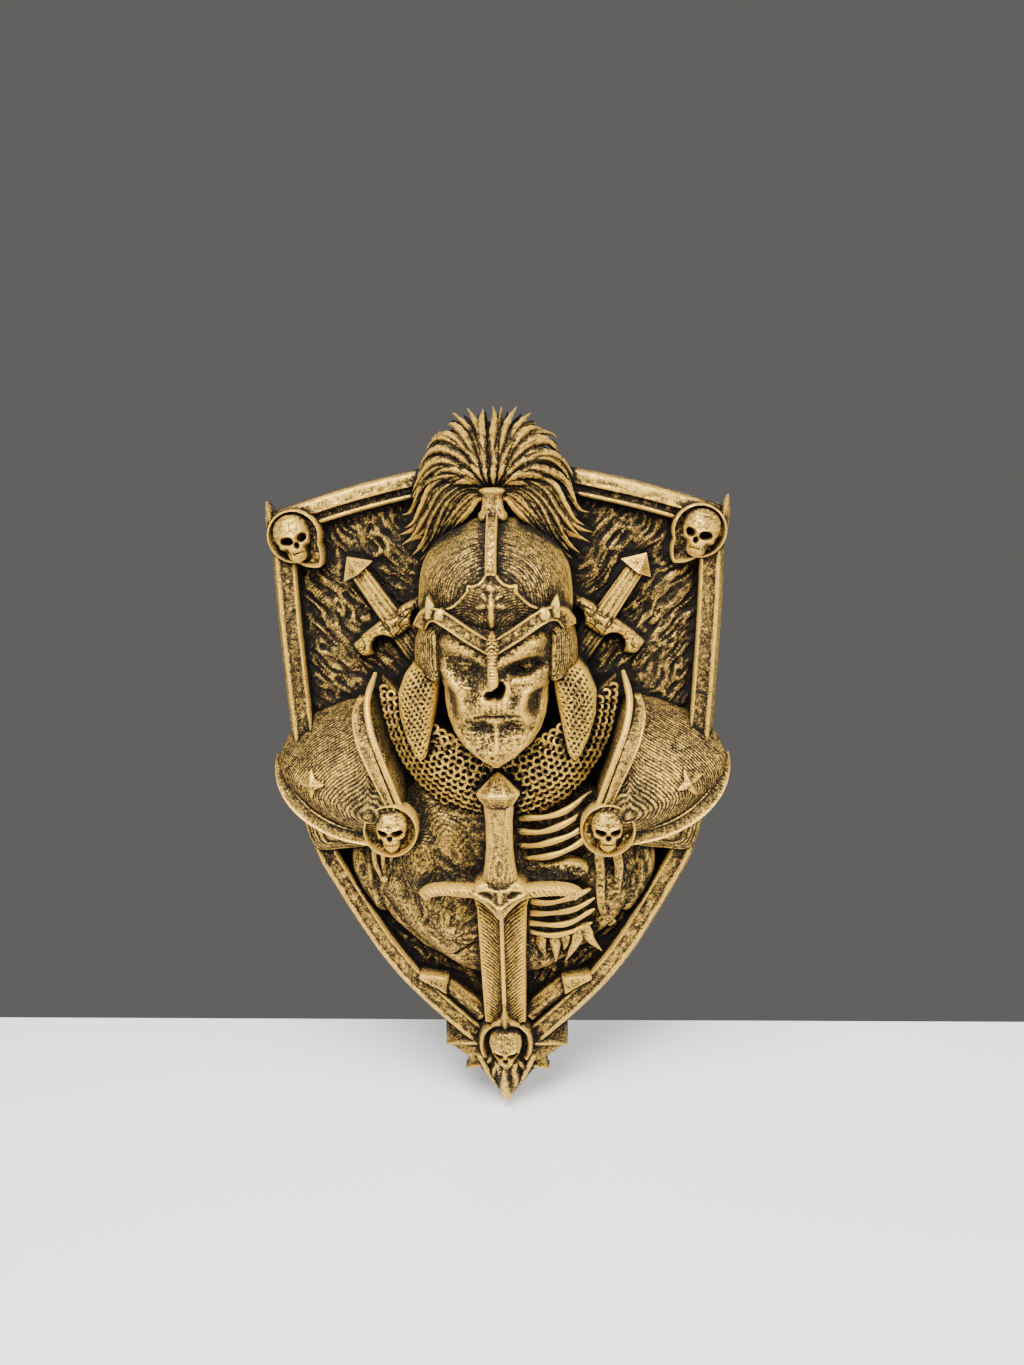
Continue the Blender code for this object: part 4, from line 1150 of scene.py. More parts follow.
@dataclass
class Plume:
    """The horsehair plume: layers of tapering locks that rise from the holder, arch and fall."""

    finish: bpy.types.Material
    root: Point = (0.0, 77.0)
    # For the right side, from straight up to the side: (tip x, z, middle x, z)
    sweep: list[tuple[float, float, float, float]] = field(default_factory=lambda: [
        (0.0, 100.3, 0.0, 89.0), (5.4, 99.6, 2.6, 89.8), (11.8, 97.4, 5.2, 89.8), (15.0, 93.2, 7.4, 90.6),
        (18.4, 88.6, 9.6, 89.8), (20.8, 84.6, 11.4, 88.6), (22.2, 80.4, 12.4, 86.4), (23.4, 75.6, 13.4, 84.0),
        (24.2, 71.2, 14.0, 81.4),
    ])
    # The locks that fall beside the helmet, as places (x, z) from root to tip
    falls: list[list[Point]] = field(default_factory=lambda: [
        [(2, 76.8), (9, 80.4), (16, 79.2), (20.6, 74.0), (23.8, 70.6), (26.8, 69.8)],
        [(2, 76.6), (8.6, 79.2), (15, 77.2), (19.0, 71.4), (22.4, 66.6), (27.4, 63.6)],
        [(2, 76.4), (8, 78.2), (13.6, 75.4), (17.2, 69.4), (20.8, 64.2), (26.6, 60.8)],
        [(2, 76.2), (7.2, 77.2), (12.0, 74.2), (15.4, 68.4), (19.0, 62.6), (24.2, 58.5)],
        [(2, 76.0), (6.6, 76.4), (10.6, 73.2), (13.8, 67.6), (17.2, 61.8), (21.5, 56.4)],
        [(2, 75.4), (4.8, 74.6), (7.4, 72.0), (10.8, 68.4), (14.6, 64.2), (18.4, 58.6)],
    ])

    def build(self) -> Iterator[bpy.types.Object]:
        """Makes the plume and its holder.

        Yields:
            Each finished piece.
        """
        piece = Casting("plume_locks")
        layers = (
            (0.0, 14, 1.0, 0.0, 1.15), (0.5, 13, 0.95, -3.2, 1.25), (0.3, 11, 0.76, 1.2, 0.95),
            (0.1, 9, 0.54, 1.8, 0.75), (0.7, 10, 0.88, 0.7, 0.7),
        )
        for side in Side:
            for shift, count, reach, lift, thick in layers:
                for number in range(count):
                    share = (number + shift) / (count - 1 + 2 * shift)
                    if share == 0 and side is Side.LEFT:
                        continue
                    self._lock(piece, side, share, reach, lift, thick, number)
            for number, fall in enumerate(self.falls):
                self._fall(piece, side, fall, number)
        yield piece.finish(self.finish)
        yield self._core()
        yield self._holder()

    def _lock(
        self, piece: Casting, side: Side, share: float, reach: float, lift: float, thick: float, number: int
    ) -> None:
        """One lock of the fan.

        Args:
            piece: The piece that collects the locks.
            side: Which side it falls to.
            share: Where it lies in the sweep, from 0 (upright) to 1 (lowest).
            reach: Its length as a share of the whole.
            lift: How far it stands out in front of the middle layer.
            thick: Its greatest radius.
            number: Its number, which varies it.
        """
        table = np.asarray(self.sweep, float)
        where = share * (len(table) - 1)
        tip_x, tip_z, mid_x, mid_z = (np.interp(where, range(len(table)), table[:, k]) for k in range(4))
        wobble = math.sin(number * 2.4 + side.value * 1.3 + lift)
        root = np.array([0.6 + 1.2 * share, self.root[1] - 0.8 * share])
        tip = root + (np.array([tip_x, tip_z]) - root) * (reach - 0.06 * abs(wobble))
        middle = root + (np.array([mid_x, mid_z]) - root) * reach + wobble * np.array([0.7, 0.5])
        bend = 2 * middle - 0.5 * (root + tip)
        t = np.linspace(0, 1, 25)
        flat = (1 - t[:, None]) ** 2 * root + (2 * t * (1 - t))[:, None] * bend + (t**2)[:, None] * tip
        swing = 0.8 * np.sin(t * 6.4 + number * 1.9 + reach * 9) * t
        flat = flat + swing[:, None] * np.array([[0.75 - 0.5 * share, 0.3 + 0.5 * share]])
        height = 18.6 + lift * ramp(t, 0, 0.35) + 3.6 * np.sin(np.pi * np.minimum(1, t * 1.1)) - 6.0 * t**1.6
        height = height + 0.7 * np.sin(number * 3.7 + side.value)
        radii = thick * np.sin(np.pi * np.clip(0.14 + 0.86 * t, 0, 1)) ** 0.6
        radii = radii * (0.66 + 0.34 * np.sin(np.pi * t))
        self._strand(piece, side, np.stack([flat[:, 0], flat[:, 1], height], axis=1), radii)

    def _fall(self, piece: Casting, side: Side, fall: Sequence[Point], number: int) -> None:
        """One hanging lock, made of a thick strand and two thin ones."""
        t = np.linspace(0, 1, 34)
        height = 17.2 + 1.6 * number % 2 + 2.4 * np.sin(np.pi * t) - 8.6 * t**1.4 + 0.5 * number
        for shift, thick, length in ((0.0, 1.15, 34), (1.5, 0.8, 31), (-1.4, 0.75, 28)):
            flat = smooth(fall, 34)
            run = np.gradient(flat, axis=0)
            run /= np.linalg.norm(run, axis=1, keepdims=True)
            waver = shift * np.sin(np.pi * (0.1 + 0.8 * t)) + 0.5 * np.sin(11 * t + number * 2.1 + shift) * t
            flat = flat + np.stack([-run[:, 1], run[:, 0]], axis=1) * waver[:, None]
            radii = thick * (0.45 + 0.55 * np.sin(np.pi * np.clip(0.06 + 0.9 * t, 0, 1)))
            path = np.stack([flat[:, 0], flat[:, 1], height + 0.5 * abs(shift) - 0.5], axis=1)[:length]
            radii = radii[:length] * np.minimum(1, 3.2 * (1 - np.linspace(0, 1, length)) ** 0.8)
            self._strand(piece, side, path, radii)

    @staticmethod
    def _strand(piece: Casting, side: Side, path: Array, radii: Array) -> None:
        """A grooved strand that ends in a point, given for the right side."""
        radii = radii * (1 + 0.1 * np.sin(np.arange(len(radii)) * 2.1 + path[-1, 0]))
        radii[-1] = 0.02
        piece.tube(path * np.array([side.value, 1, 1]), radii, 12, flat=0.95, flutes=4, depth=0.2)

    def _core(self) -> bpy.types.Object:
        """The dark mass behind the locks."""
        half = [
            (0, 95), (8, 93), (14, 87), (18, 80.6), (21.6, 73), (24, 64.6), (20, 61.6), (15, 69), (9, 75),
            (0, 75.8),
        ]

        def mass(x: Array, z: Array, share: Array) -> Array:
            """Strands that fan out from the root."""
            angle = np.arctan2(z - self.root[1], x)
            return 10.0 + 5.0 * bulge(share) + 0.5 * np.sin(angle * 46) * share

        piece = Casting("plume_core")
        piece.disc(smooth(both_halves(half), 90, closed=True), (0, 80), 260, 16, mass, 2.0)
        return piece.finish(self.finish)

    def _holder(self) -> bpy.types.Object:
        """The waisted socket that holds the plume."""
        piece = Casting("plume_holder")
        profile = [
            (3.6, 68.4), (4.0, 69.4), (3.9, 70.2), (3.1, 71.4), (2.8, 73.0), (2.9, 74.4), (3.3, 75.6),
            (3.9, 76.4), (3.9, 77.0), (3.0, 77.4),
        ]
        line = smooth([(0, z, 19.6) for _, z in profile], 40)
        radii = value_at([(radius, z) for radius, z in reversed(profile)], line[:, 1])
        piece.tube(line, radii, 48, flat=1.0, flutes=12, depth=0.015)
        return piece.finish(self.finish)


# Helmet


@dataclass
class Helmet:
    """The bowl with its crest strip, pointed brow plate, brow band, nose guard and cheek guards."""

    bowl: bpy.types.Material
    steel: bpy.types.Material
    trim: bpy.types.Material
    # The bowl's middle, its reach sideways, up and down, its edge's height and its rise over that
    middle: float = 47.0
    half_width: float = 21.9
    above: float = 22.7
    below: float = 15.0
    edge_height: float = 14.0
    rise: float = 20.6
    outline: list[Point] = field(default_factory=lambda: [
        (0, 69.6), (8.0, 68.2), (15.4, 63.8), (20.2, 56.8), (21.8, 48), (21.4, 40), (18, 34.6), (0, 33),
    ])
    plate_top: list[Point] = field(default_factory=lambda: [
        (0.0, 55.0), (1.3, 55.6), (2.2, 54.2), (3.4, 53.0), (5.0, 52.4), (7.0, 52.6), (6.6, 51.0),
        (8.4, 48.9), (10.4, 47.0), (12.6, 45.9), (14.6, 46.0), (16.2, 46.9), (17.5, 49.0), (17.6, 47.0),
        (17.6, 44.6),
    ])
    band_path: list[Place] = field(default_factory=lambda: [
        (0, 35.4, 36.4), (6.6, 39.4, 36.2), (12.4, 43.1, 34.4), (15.8, 44.2, 32.0), (18.8, 43.0, 28.6),
        (20.9, 39.4, 24.6),
    ])

    def build(self) -> Iterator[bpy.types.Object]:
        """Makes the helmet's pieces.

        Yields:
            Each finished piece.
        """
        yield self._bowl()
        yield self._crest()
        yield self._brow_plate()
        yield self._brow_band()
        yield self._cheek_guards()

    def bowl_height(self, x: Array, z: Array) -> Array:
        """How far the bowl stands out at a point."""
        reach = np.where(z > self.middle, self.above, self.below)
        return self._round(np.hypot(x / self.half_width, (z - self.middle) / reach))

    def _round(self, share: Array) -> Array:
        """The bowl's height at a share of the way from its middle to its edge."""
        return self.edge_height + self.rise * bulge(share)

    def _bowl(self) -> bpy.types.Object:
        """The round bowl, finely combed in arcs round the brow."""

        def dome(x: Array, z: Array, share: Array) -> Array:
            """Half a sphere, combed in arcs round the brow."""
            reach, turn = np.hypot(x, z - 44), np.arctan2(z - 44, x)
            combed = 1 - 2 * np.abs(grain(reach / 0.55, turn * 3.0, 1.0, 52))
            return self._round(share) + 0.03 * grain(x, z, 2.4, 51) + 0.14 * combed

        piece = Casting("helmet_bowl")
        outline = smooth(both_halves(self.outline), 160, closed=True)
        piece.disc(outline, (0, self.middle), 160, 90, dome, 3.0)
        return piece.finish(self.bowl)

    def _crest(self) -> bpy.types.Object:
        """The strip over the bowl's middle: two rails and a rough bed."""
        piece = Casting("helmet_crest")
        path = [
            (0, 55.4, 35.8), (0, 57.6, 35.2), (0, 61, 33.5), (0, 65, 30.4), (0, 68.4, 26.4), (0, 71.0, 21.6),
        ]

        def bed(along: Array, sideways: Array) -> Array:
            """The rough bed between the rails."""
            return (np.abs(sideways) < 0.84) * 0.16 * grain(along, sideways, 0.8, 53)

        half = [(1.5, -1.4), (1.46, 0.3), (1.25, 0.75), (1.02, 0.4), (0.88, 0.0)]
        section = [*((-sideways, up) for sideways, up in half), *reversed(half)]
        piece.band(path, section, 12.0, 0.3, bed)
        return piece.finish(self.trim)

    def _brow_plate(self) -> bpy.types.Object:
        """The pointed plate over the brow, with its spindle and leaves."""
        edge = np.asarray(self.plate_top, float)
        rim = [*((-x, z) for x, z in reversed(self.plate_top)), *self.plate_top]

        def plate(u: Array, v: Array) -> Places:
            """The plate's places."""
            x = u * self.plate_top[-1][0]
            top = np.interp(np.abs(x), edge[:, 0], edge[:, 1])
            low = np.interp(np.abs(x), [0, 6.6, 12.4, 16, 17.6], [36.2, 40.0, 43.0, 43.6, 43.0])
            z = low + (top - low) * (v + 1) / 2
            height = self.bowl_height(x, z) + 1.2
            height += 0.6 * bell(x, 5.5) * (1 - ramp(z, 45, 54))
            scoop = knoll(np.abs(x), z, (5.4, 45.4), (3.8, 3.2), -1.2)
            line = distance(x, z, rim)
            border = 0.6 * (1 - ramp(line, 0.4, 0.7))
            spindle = knoll(x, z, (0, 45.6), (0.9, 4.8), 1.4, edge=1.6)
            spindle = spindle + knoll(x, z, (0, 51.8), (1.3, 0.9), 0.9)
            leaves = sum(knoll(x, z, (s * 2.5, 47.0), (1.9, 0.8), 1.1, turn=-s * 14) for s in (-1, 1))
            leaves = leaves + sum(knoll(x, z, (s * 1.7, 49.2), (1.2, 0.6), 0.8, turn=s * 44) for s in (-1, 1))
            swirl = np.hypot(np.abs(x) - 7.5, (z - 40.0) * 1.2)
            grooves = 0.12 * np.sin(swirl * 2 * np.pi / 0.95) * ramp(np.abs(x), 1.2, 2.4)
            grooves = grooves * ramp(line, 0.8, 1.4)
            knots = 0.4 * np.maximum(0, grain(x, z, 1.2, 54)) * ramp(z, 50.4, 52.0)
            return x, z, height + scoop + border + spindle + leaves + grooves + knots

        piece = Casting("helmet_brow_plate")
        piece.patch(150, 62, plate, 16.0)
        return piece.finish(self.trim)

    def _brow_band(self) -> bpy.types.Object:
        """The band that dips to the nose, a knob and a spike over each temple, and the nose guard."""
        piece = Casting("helmet_brow_band")
        section = [
            (-2.0, -2.6), (-1.95, 0.1), (-1.8, 0.5), (-1.5, 0.5), (-1.3, -0.15), (1.3, -0.15), (1.5, 0.5),
            (1.8, 0.5), (1.95, 0.1), (2.0, -2.6),
        ]
        horn = [(13.4, 44.0), (15.6, 46.0), (17.6, 49.6), (18.2, 46.2), (18.2, 43.0)]
        turns = np.linspace(0, 2 * math.pi, 33)[:-1]

        def bed(along: Array, sideways: Array) -> Array:
            """Studs and a rough bed between the edges."""
            inside = np.abs(sideways) < 1.15
            studs = 0.5 * bell(along % 5.2 - 2.6, 0.5) * bell(sideways, 0.55)
            return inside * 0.14 * grain(along, sideways, 0.8, 55) + studs

        def knob(x: Array, z: Array, share: Array) -> Array:
            """A low round knob over the temple."""
            return 33.7 + 0.8 * (1 - share**2)

        def spike(x: Array, z: Array, share: Array) -> Array:
            """A small spike beside the knob."""
            return 31.4 + 1.2 * (1 - share)

        for side in Side:
            piece.band(mirrored(self.band_path, side), section, 18.0, 0.35, bed)
            x, z = 13.9 * side.value, 44.1
            knot = np.stack([x + 1.7 * np.cos(turns), z + 1.9 * np.sin(turns)], axis=1)
            piece.disc(knot, (x, z), 32, 8, knob, 26.0)
            outline = rounded(mirrored(horn, side), 40, 0.2)
            piece.disc(outline, (17.0 * side.value, 45.2), 40, 8, spike, 18.0)
        self._nose_guard(piece)
        return piece.finish(self.trim)

    @staticmethod
    def _nose_guard(piece: Casting) -> None:
        """The ribbed bar down the nose, with a scaled peak above it."""
        widths = [
            (0.2, 40.2), (1.8, 37.4), (2.0, 35.0), (1.3, 33.0), (1.4, 26.0), (1.25, 25.2), (0.9, 24.8),
            (0.3, 24.6),
        ]
        top, bottom = widths[0][1], widths[-1][1]
        profile = [(36.6, top), (36.6, 34), (36.3, 28), (36.0, bottom)]

        def bar(u: Array, v: Array) -> Places:
            """The nose guard's places."""
            z = bottom + (top - bottom) * (v + 1) / 2
            half = value_at(widths, z)
            ribs = 0.14 * np.sin(z * 2 * np.pi / 0.95) * ramp(z, 25.8, 26.6)
            chevrons = 0.2 * np.sin((z + np.abs(u) * 1.6) * 2 * np.pi / 1.3) * ramp(z, 33.4, 34.6)
            crown = 1.0 * (1 - np.abs(u) ** 2.4)
            return u * half, z, value_at(profile, z) + crown + ribs + chevrons

        piece.patch(22, 84, bar, 28.0)

    def _cheek_guards(self) -> bpy.types.Object:
        """The hanging guards, each with a rounded lower edge and a fine rim."""
        piece = Casting("helmet_cheek_guards")
        shape = [
            (14.9, 41.6), (18, 42.0), (20.2, 40.4), (22.2, 37.4), (23.2, 33), (23.0, 28.8), (22.0, 26.4),
            (19.0, 24.6), (16.2, 23.9), (15.2, 24.8),
        ]
        for side in Side:
            outline = rounded(mirrored(shape, side), 120, 1.2)

            def plate(x: Array, z: Array, share: Array) -> Array:
                """A bowed plate that leans towards the face, with a raised lower edge."""
                bow = 3.4 * bulge(share, 4)
                lean = 4.0 - 0.62 * np.maximum(0, np.abs(x) - 16) ** 1.15
                lower = distance(np.abs(x), z, [(15.2, 24.2), (19.0, 24.8), (22.2, 26.8)])
                rim = 0.7 * (1 - ramp(lower, 0.6, 1.0))
                brushed = 0.07 * grain(x * 1.6, z * 0.22, 0.7, 56)
                return 20.6 + bow + lean + rim - 1.6 * ramp(z, 37, 43) + brushed

            piece.disc(outline, (19.4 * side.value, 35), 110, 30, plate, 8.0)
        return piece.finish(self.steel)


# Face


@dataclass
class Face:
    """The half-fleshed face under the helmet: sunk eyes, open nose, tight mouth and ridged chin."""

    finish: bpy.types.Material
    rim: float = 18.5
    outline: list[Point] = field(default_factory=lambda: [
        (9, 44), (15.2, 41), (16.9, 36), (17.2, 31), (17.0, 28.2), (15.9, 25.2), (14.8, 22), (14.7, 17.8),
        (14.0, 13.6), (12.6, 9.6), (10.6, 6.6), (7.4, 3.8), (3.6, 1.4), (1.6, 0.4),
    ])
    profile: list[Point] = field(default_factory=lambda: [
        (33, 44), (35.0, 38.5), (34.0, 33), (33.8, 27), (34.2, 23), (34.0, 19), (33.8, 16), (32.4, 12),
        (33.2, 6), (32.0, 3), (29.5, 0.4),
    ])

    def build(self) -> bpy.types.Object:
        """Makes the face."""

        def skin(u: Array, v: Array) -> Places:
            """The face's places."""
            spread, x, z = filled(self.outline, u, v)
            height = self.rim + (value_at(self.profile, z) - self.rim) * bulge(spread, 3.3)
            return x, z, height + (1 - spread**10) * (self._bones(x, z) + self._skin(x, z))

        piece = Casting("face")
        piece.patch(150, 200, skin, 10.0)
        return piece.finish(self.finish)

    @staticmethod
    def _bones(x: Array, z: Array) -> Array:
        """Brow, eyes, cheekbones, nose opening, mouth and chin."""
        total = np.zeros_like(x)
        total += stroke(x, z, [(2.4, 31.6), (8, 34.2), (14.6, 38.2)], 2.6, 2.0)
        total += stroke(x, z, [(-2.4, 32.2), (-8, 34.8), (-13.6, 36.6)], 2.3, 1.5)
        total += knoll(x, z, (8.6, 29.5), (5.7, 2.6), -4.8, turn=10, edge=1.6)
        total += knoll(x, z, (8.8, 29.5), (1.8, 1.3), 1.9)
        total += knoll(x, z, (-8.4, 29.4), (5.0, 3.0), -2.8, edge=1.2)
        total += knoll(x, z, (-7.8, 29.8), (2.0, 1.6), 1.5)
        total += knoll(x, z, (-6.4, 24.8), (2.9, 2.6), -1.5)
        for s in (-1, 1):
            lid = [(s * 6.0, 30.5), (s * 7.9, 31.2), (s * 9.8, 30.5), (s * 10.2, 29.3)]
            total += stroke(x, z, lid, 0.4, 0.5)
            total += stroke(x, z, [(s * 13.4, 17), (s * 10.6, 9), (s * 4, 2.6)], 1.2, 0.7)
            total += knoll(x, z, (s * 4.6, 12.6), (3.0, 2.2), -1.6, turn=-s * 14, edge=1.0)
            total += knoll(x, z, (s * 5.8, 20.6), (1.7, 2.6), -1.1)
        total += stroke(x, z, [(4.0, 27.6), (7.8, 26.4), (12.4, 28.0)], 0.8, 0.9)
        total += stroke(x, z, [(15.6, 26.6), (13.0, 23.8), (9.4, 22.4), (8.2, 19.0), (9.6, 15.2)], 1.5, 1.3)
        total += stroke(x, z, [(-14.2, 28.4), (-12.4, 25.2), (-10.2, 22.6), (-9.8, 18.6)], 1.7, 1.1)
        total += knoll(x, z, (-12.4, 18.8), (2.4, 4.8), -3.2, turn=6, edge=1.3)
        total += knoll(x, z, (12.2, 18.9), (3.3, 4.4), -5.2, turn=-12, edge=1.9)
        total += knoll(x, z, (0, 28), (2.2, 5.0), 2.0)
        total += knoll(x, z, (-0.9, 22.1), (1.6, 1.2), -4.6, turn=14, edge=2.4)
        total += knoll(x, z, (1.5, 23.3), (1.5, 2.4), -5.4, turn=-14, edge=2.4)
        total += knoll(x, z, (-0.3, 19.0), (6.6, 2.4), 1.5)
        upper_lip = ramp(z, 16.6, 18.0) * (1 - ramp(z, 20.2, 21.4))
        total += 0.2 * np.cos(x * 2 * np.pi / 1.5) * bell(x, 4.6) * upper_lip
        total += stroke(x, z, [(-5.4, 15.8), (-2, 16.2), (1, 16.3), (4, 16.2), (7.0, 15.9)], 0.4, -0.6)
        total += knoll(x, z, (-0.2, 14.7), (2.2, 0.9), 1.2)
        total += stroke(x, z, [(0.3, 13.0), (0.5, 9), (0.2, 6.6)], 0.9, 0.9)
        total += knoll(x, z, (-0.6, 4.6), (1.6, 1.6), 0.7)
        total += knoll(x, z, (-0.9, 4.4), (0.8, 0.7), -0.6, edge=2)
        total += knoll(x, z, (0, 6.0), (4.4, 3.6), 1.0)
        return total

    @staticmethod
    def _skin(x: Array, z: Array) -> Array:
        """Dried skin: creases and small pits."""
        creases = 1 - 2 * np.abs(grain(x + 0.7 * grain(x, z, 2.0, 61), z, 1.3, 62))
        return (
            (0.15 + 0.12 * ramp(-z, -15, -9)) * creases + 0.2 * grain(x, z, 2.4, 63)
            + 0.12 * grain(x, z, 0.6, 64)
        )


# Mail


@dataclass
class Mail:
    """The mail: scaled flaps that hang from the helmet, and the ringed collar round the neck."""

    finish: bpy.types.Material
    bed_finish: bpy.types.Material
    rows: int = 11
    ring: float = 1.12
    wire: float = 0.42
    pitch: float = 2.0

    def build(self) -> Iterator[bpy.types.Object]:
        """Makes the mail's pieces.

        Yields:
            Each finished piece.
        """
        yield self._flaps()
        yield self._bed()
        yield self._rings()

    def _flaps(self) -> bpy.types.Object:
        """The scaled flap on each side of the face."""
        piece = Casting("mail_flaps")
        inner = [(16.0, 25.2), (16.9, 19), (18.5, 10.5), (20.0, 3.0), (20.6, 1.4), (21.8, 0.3)]
        outer = [(22.8, 29.4), (26.0, 25.4), (28.4, 19.5), (28.2, 13), (26.2, 6.6), (24.0, 2.2), (22.6, 0.3)]

        def flap(side: Side) -> Shape:
            """The flap on one side: rows of small rings with holes between them, in a plain edge."""

            def rings(u: Array, v: Array) -> Places:
                """The flap's places."""
                share, low = (u + 1) / 2, (1 - v) / 2
                z = 0.3 + (24.9 + 3.6 * share) * (1 - low)
                left, right = value_at(inner, z), value_at(outer, z)
                x = left + (right - left) * share
                bent_x, bent_z = x + 0.4 * grain(x, z, 2.2, 72), z + 0.4 * grain(x, z, 2.2, 73)
                row = (bent_z + 0.28 * (bent_x - 22) + 0.02 * (bent_x - 22) ** 2) / 1.28
                cell_x = (bent_x / 1.5 + np.floor(row) % 2 * 0.5) % 1 - 0.5
                cell_z = row % 1 - 0.5
                holes = -0.85 * np.exp(-((cell_x / 0.2) ** 2) - (cell_z / 0.26) ** 2)
                wires = 0.22 * np.exp(-(((np.hypot(cell_x, cell_z) - 0.44) / 0.12) ** 2))
                inside = (1 - ramp(np.abs(u), 0.85, 0.92)) * ramp(z, 1.4, 2.2)
                bow = 2.8 * bulge(u, 5) - 0.05 * np.maximum(0, x - 20) ** 2
                height = 21.4 + bow - 1.6 * (1 - ramp(z, 0, 2.6)) + 0.1 * grain(x, z, 0.7, 74)
                return x * side.value, z, height + inside * (holes + wires)

            return rings

        for side in Side:
            piece.patch(50, 112, flap(side), 9.0)
        return piece.finish(self.finish)

    def _row(self, share: Array | float, angle: Array) -> Places:
        """A place on the collar.

        Args:
            share: From 0 at the outer edge to 1 at the neck.
            angle: From 0 at the right end, round under the chin, to pi at the left end.

        Returns:
            x, z and height.
        """
        half = 33.6 - 17.6 * share
        top, bottom = 22.0 - 14.0 * share, -19.4 + 18.6 * share
        x = half * np.cos(angle)
        z = top - (top - bottom) * np.maximum(0, np.sin(angle)) ** 0.95
        height = (
            10.6 + 8.2 * np.sin(np.pi * 0.5 * np.minimum(1, share * 1.3))
            + 2.4 * np.sin(angle) * (1 - 0.5 * share)
        )
        return x, z, height

    def _bed(self) -> bpy.types.Object:
        """The near-black bed under the rings: painted shade in the gaps between them, over the black coat."""

        def cloth(u: Array, v: Array) -> Places:
            """The bed's places, just under the rings."""
            share = (v + 1) / 2 * 1.32 - 0.04
            x, z, height = self._row(share, np.pi * (u + 1) / 2)
            return x, z, height - 1.2 + 0.12 * grain(x, z, 0.8, 71)

        piece = Casting("mail_bed")
        piece.patch(150, 50, cloth, 6.0)
        return piece.finish(self.bed_finish)

    def _rings(self) -> bpy.types.Object:
        """Rows of linked rings, alternately leaning left and right."""
        piece = Casting("mail_rings")
        t = np.linspace(0, 2 * np.pi, 13)
        for row in range(self.rows):
            share = 1.24 * row / (self.rows - 1)
            angles = np.linspace(0.02 * np.pi, 0.98 * np.pi, 400)
            x, z, height = self._row(share, angles)
            line = np.stack([x, z, height], axis=1)
            length = float(np.linalg.norm(np.diff(line, axis=0), axis=1).sum())
            centres = even(line, max(2, round(length / self.pitch)))
            runs = np.gradient(centres, axis=0)
            runs /= np.linalg.norm(runs, axis=1, keepdims=True)
            for number, (centre, run) in enumerate(zip(centres, runs)):
                if centre[2] < 4:
                    continue
                chance = float(grain(centre[:1], centre[1:2], 1.1, 75)[0])
                tilt = (0.36 if (number + row) % 2 else -0.36) + 0.3 * chance
                down = np.cross(run, (0.0, 0.0, 1.0))
                down /= np.linalg.norm(down)
                out = np.cross(down, run)
                lean = out * math.sin(tilt) + run * math.cos(tilt)
                loop = lean[None] * np.cos(t)[:, None] + down[None] * np.sin(t)[:, None]
                radius = self.ring + 0.12 * chance
                self._ring(piece, centre + 0.35 * chance * out + radius * loop)
        return piece.finish(self.finish)

    def _ring(self, piece: Casting, loop: Array) -> None:
        """One ring as a closed bar with few faces."""
        last = len(loop) - 1
        run = np.roll(loop[:-1], -1, axis=0) - np.roll(loop[:-1], 1, axis=0)
        run /= np.linalg.norm(run, axis=1, keepdims=True)
        middle = loop[:-1].mean(axis=0)
        away = loop[:-1] - middle
        away /= np.linalg.norm(away, axis=1, keepdims=True)
        side = np.cross(run, away)

        def wire(u: Array, v: Array) -> Places:
            """The ring's skin."""
            i = np.rint((v + 1) / 2 * last).astype(int) % last
            angle = np.pi * u
            place = (
                loop[i] + self.wire * (away[i] * np.cos(angle)[:, None] + side[i] * np.sin(angle)[:, None])
            )
            return place[:, 0], place[:, 1], place[:, 2]

        piece.grid(5, last, wire)


# Shoulders


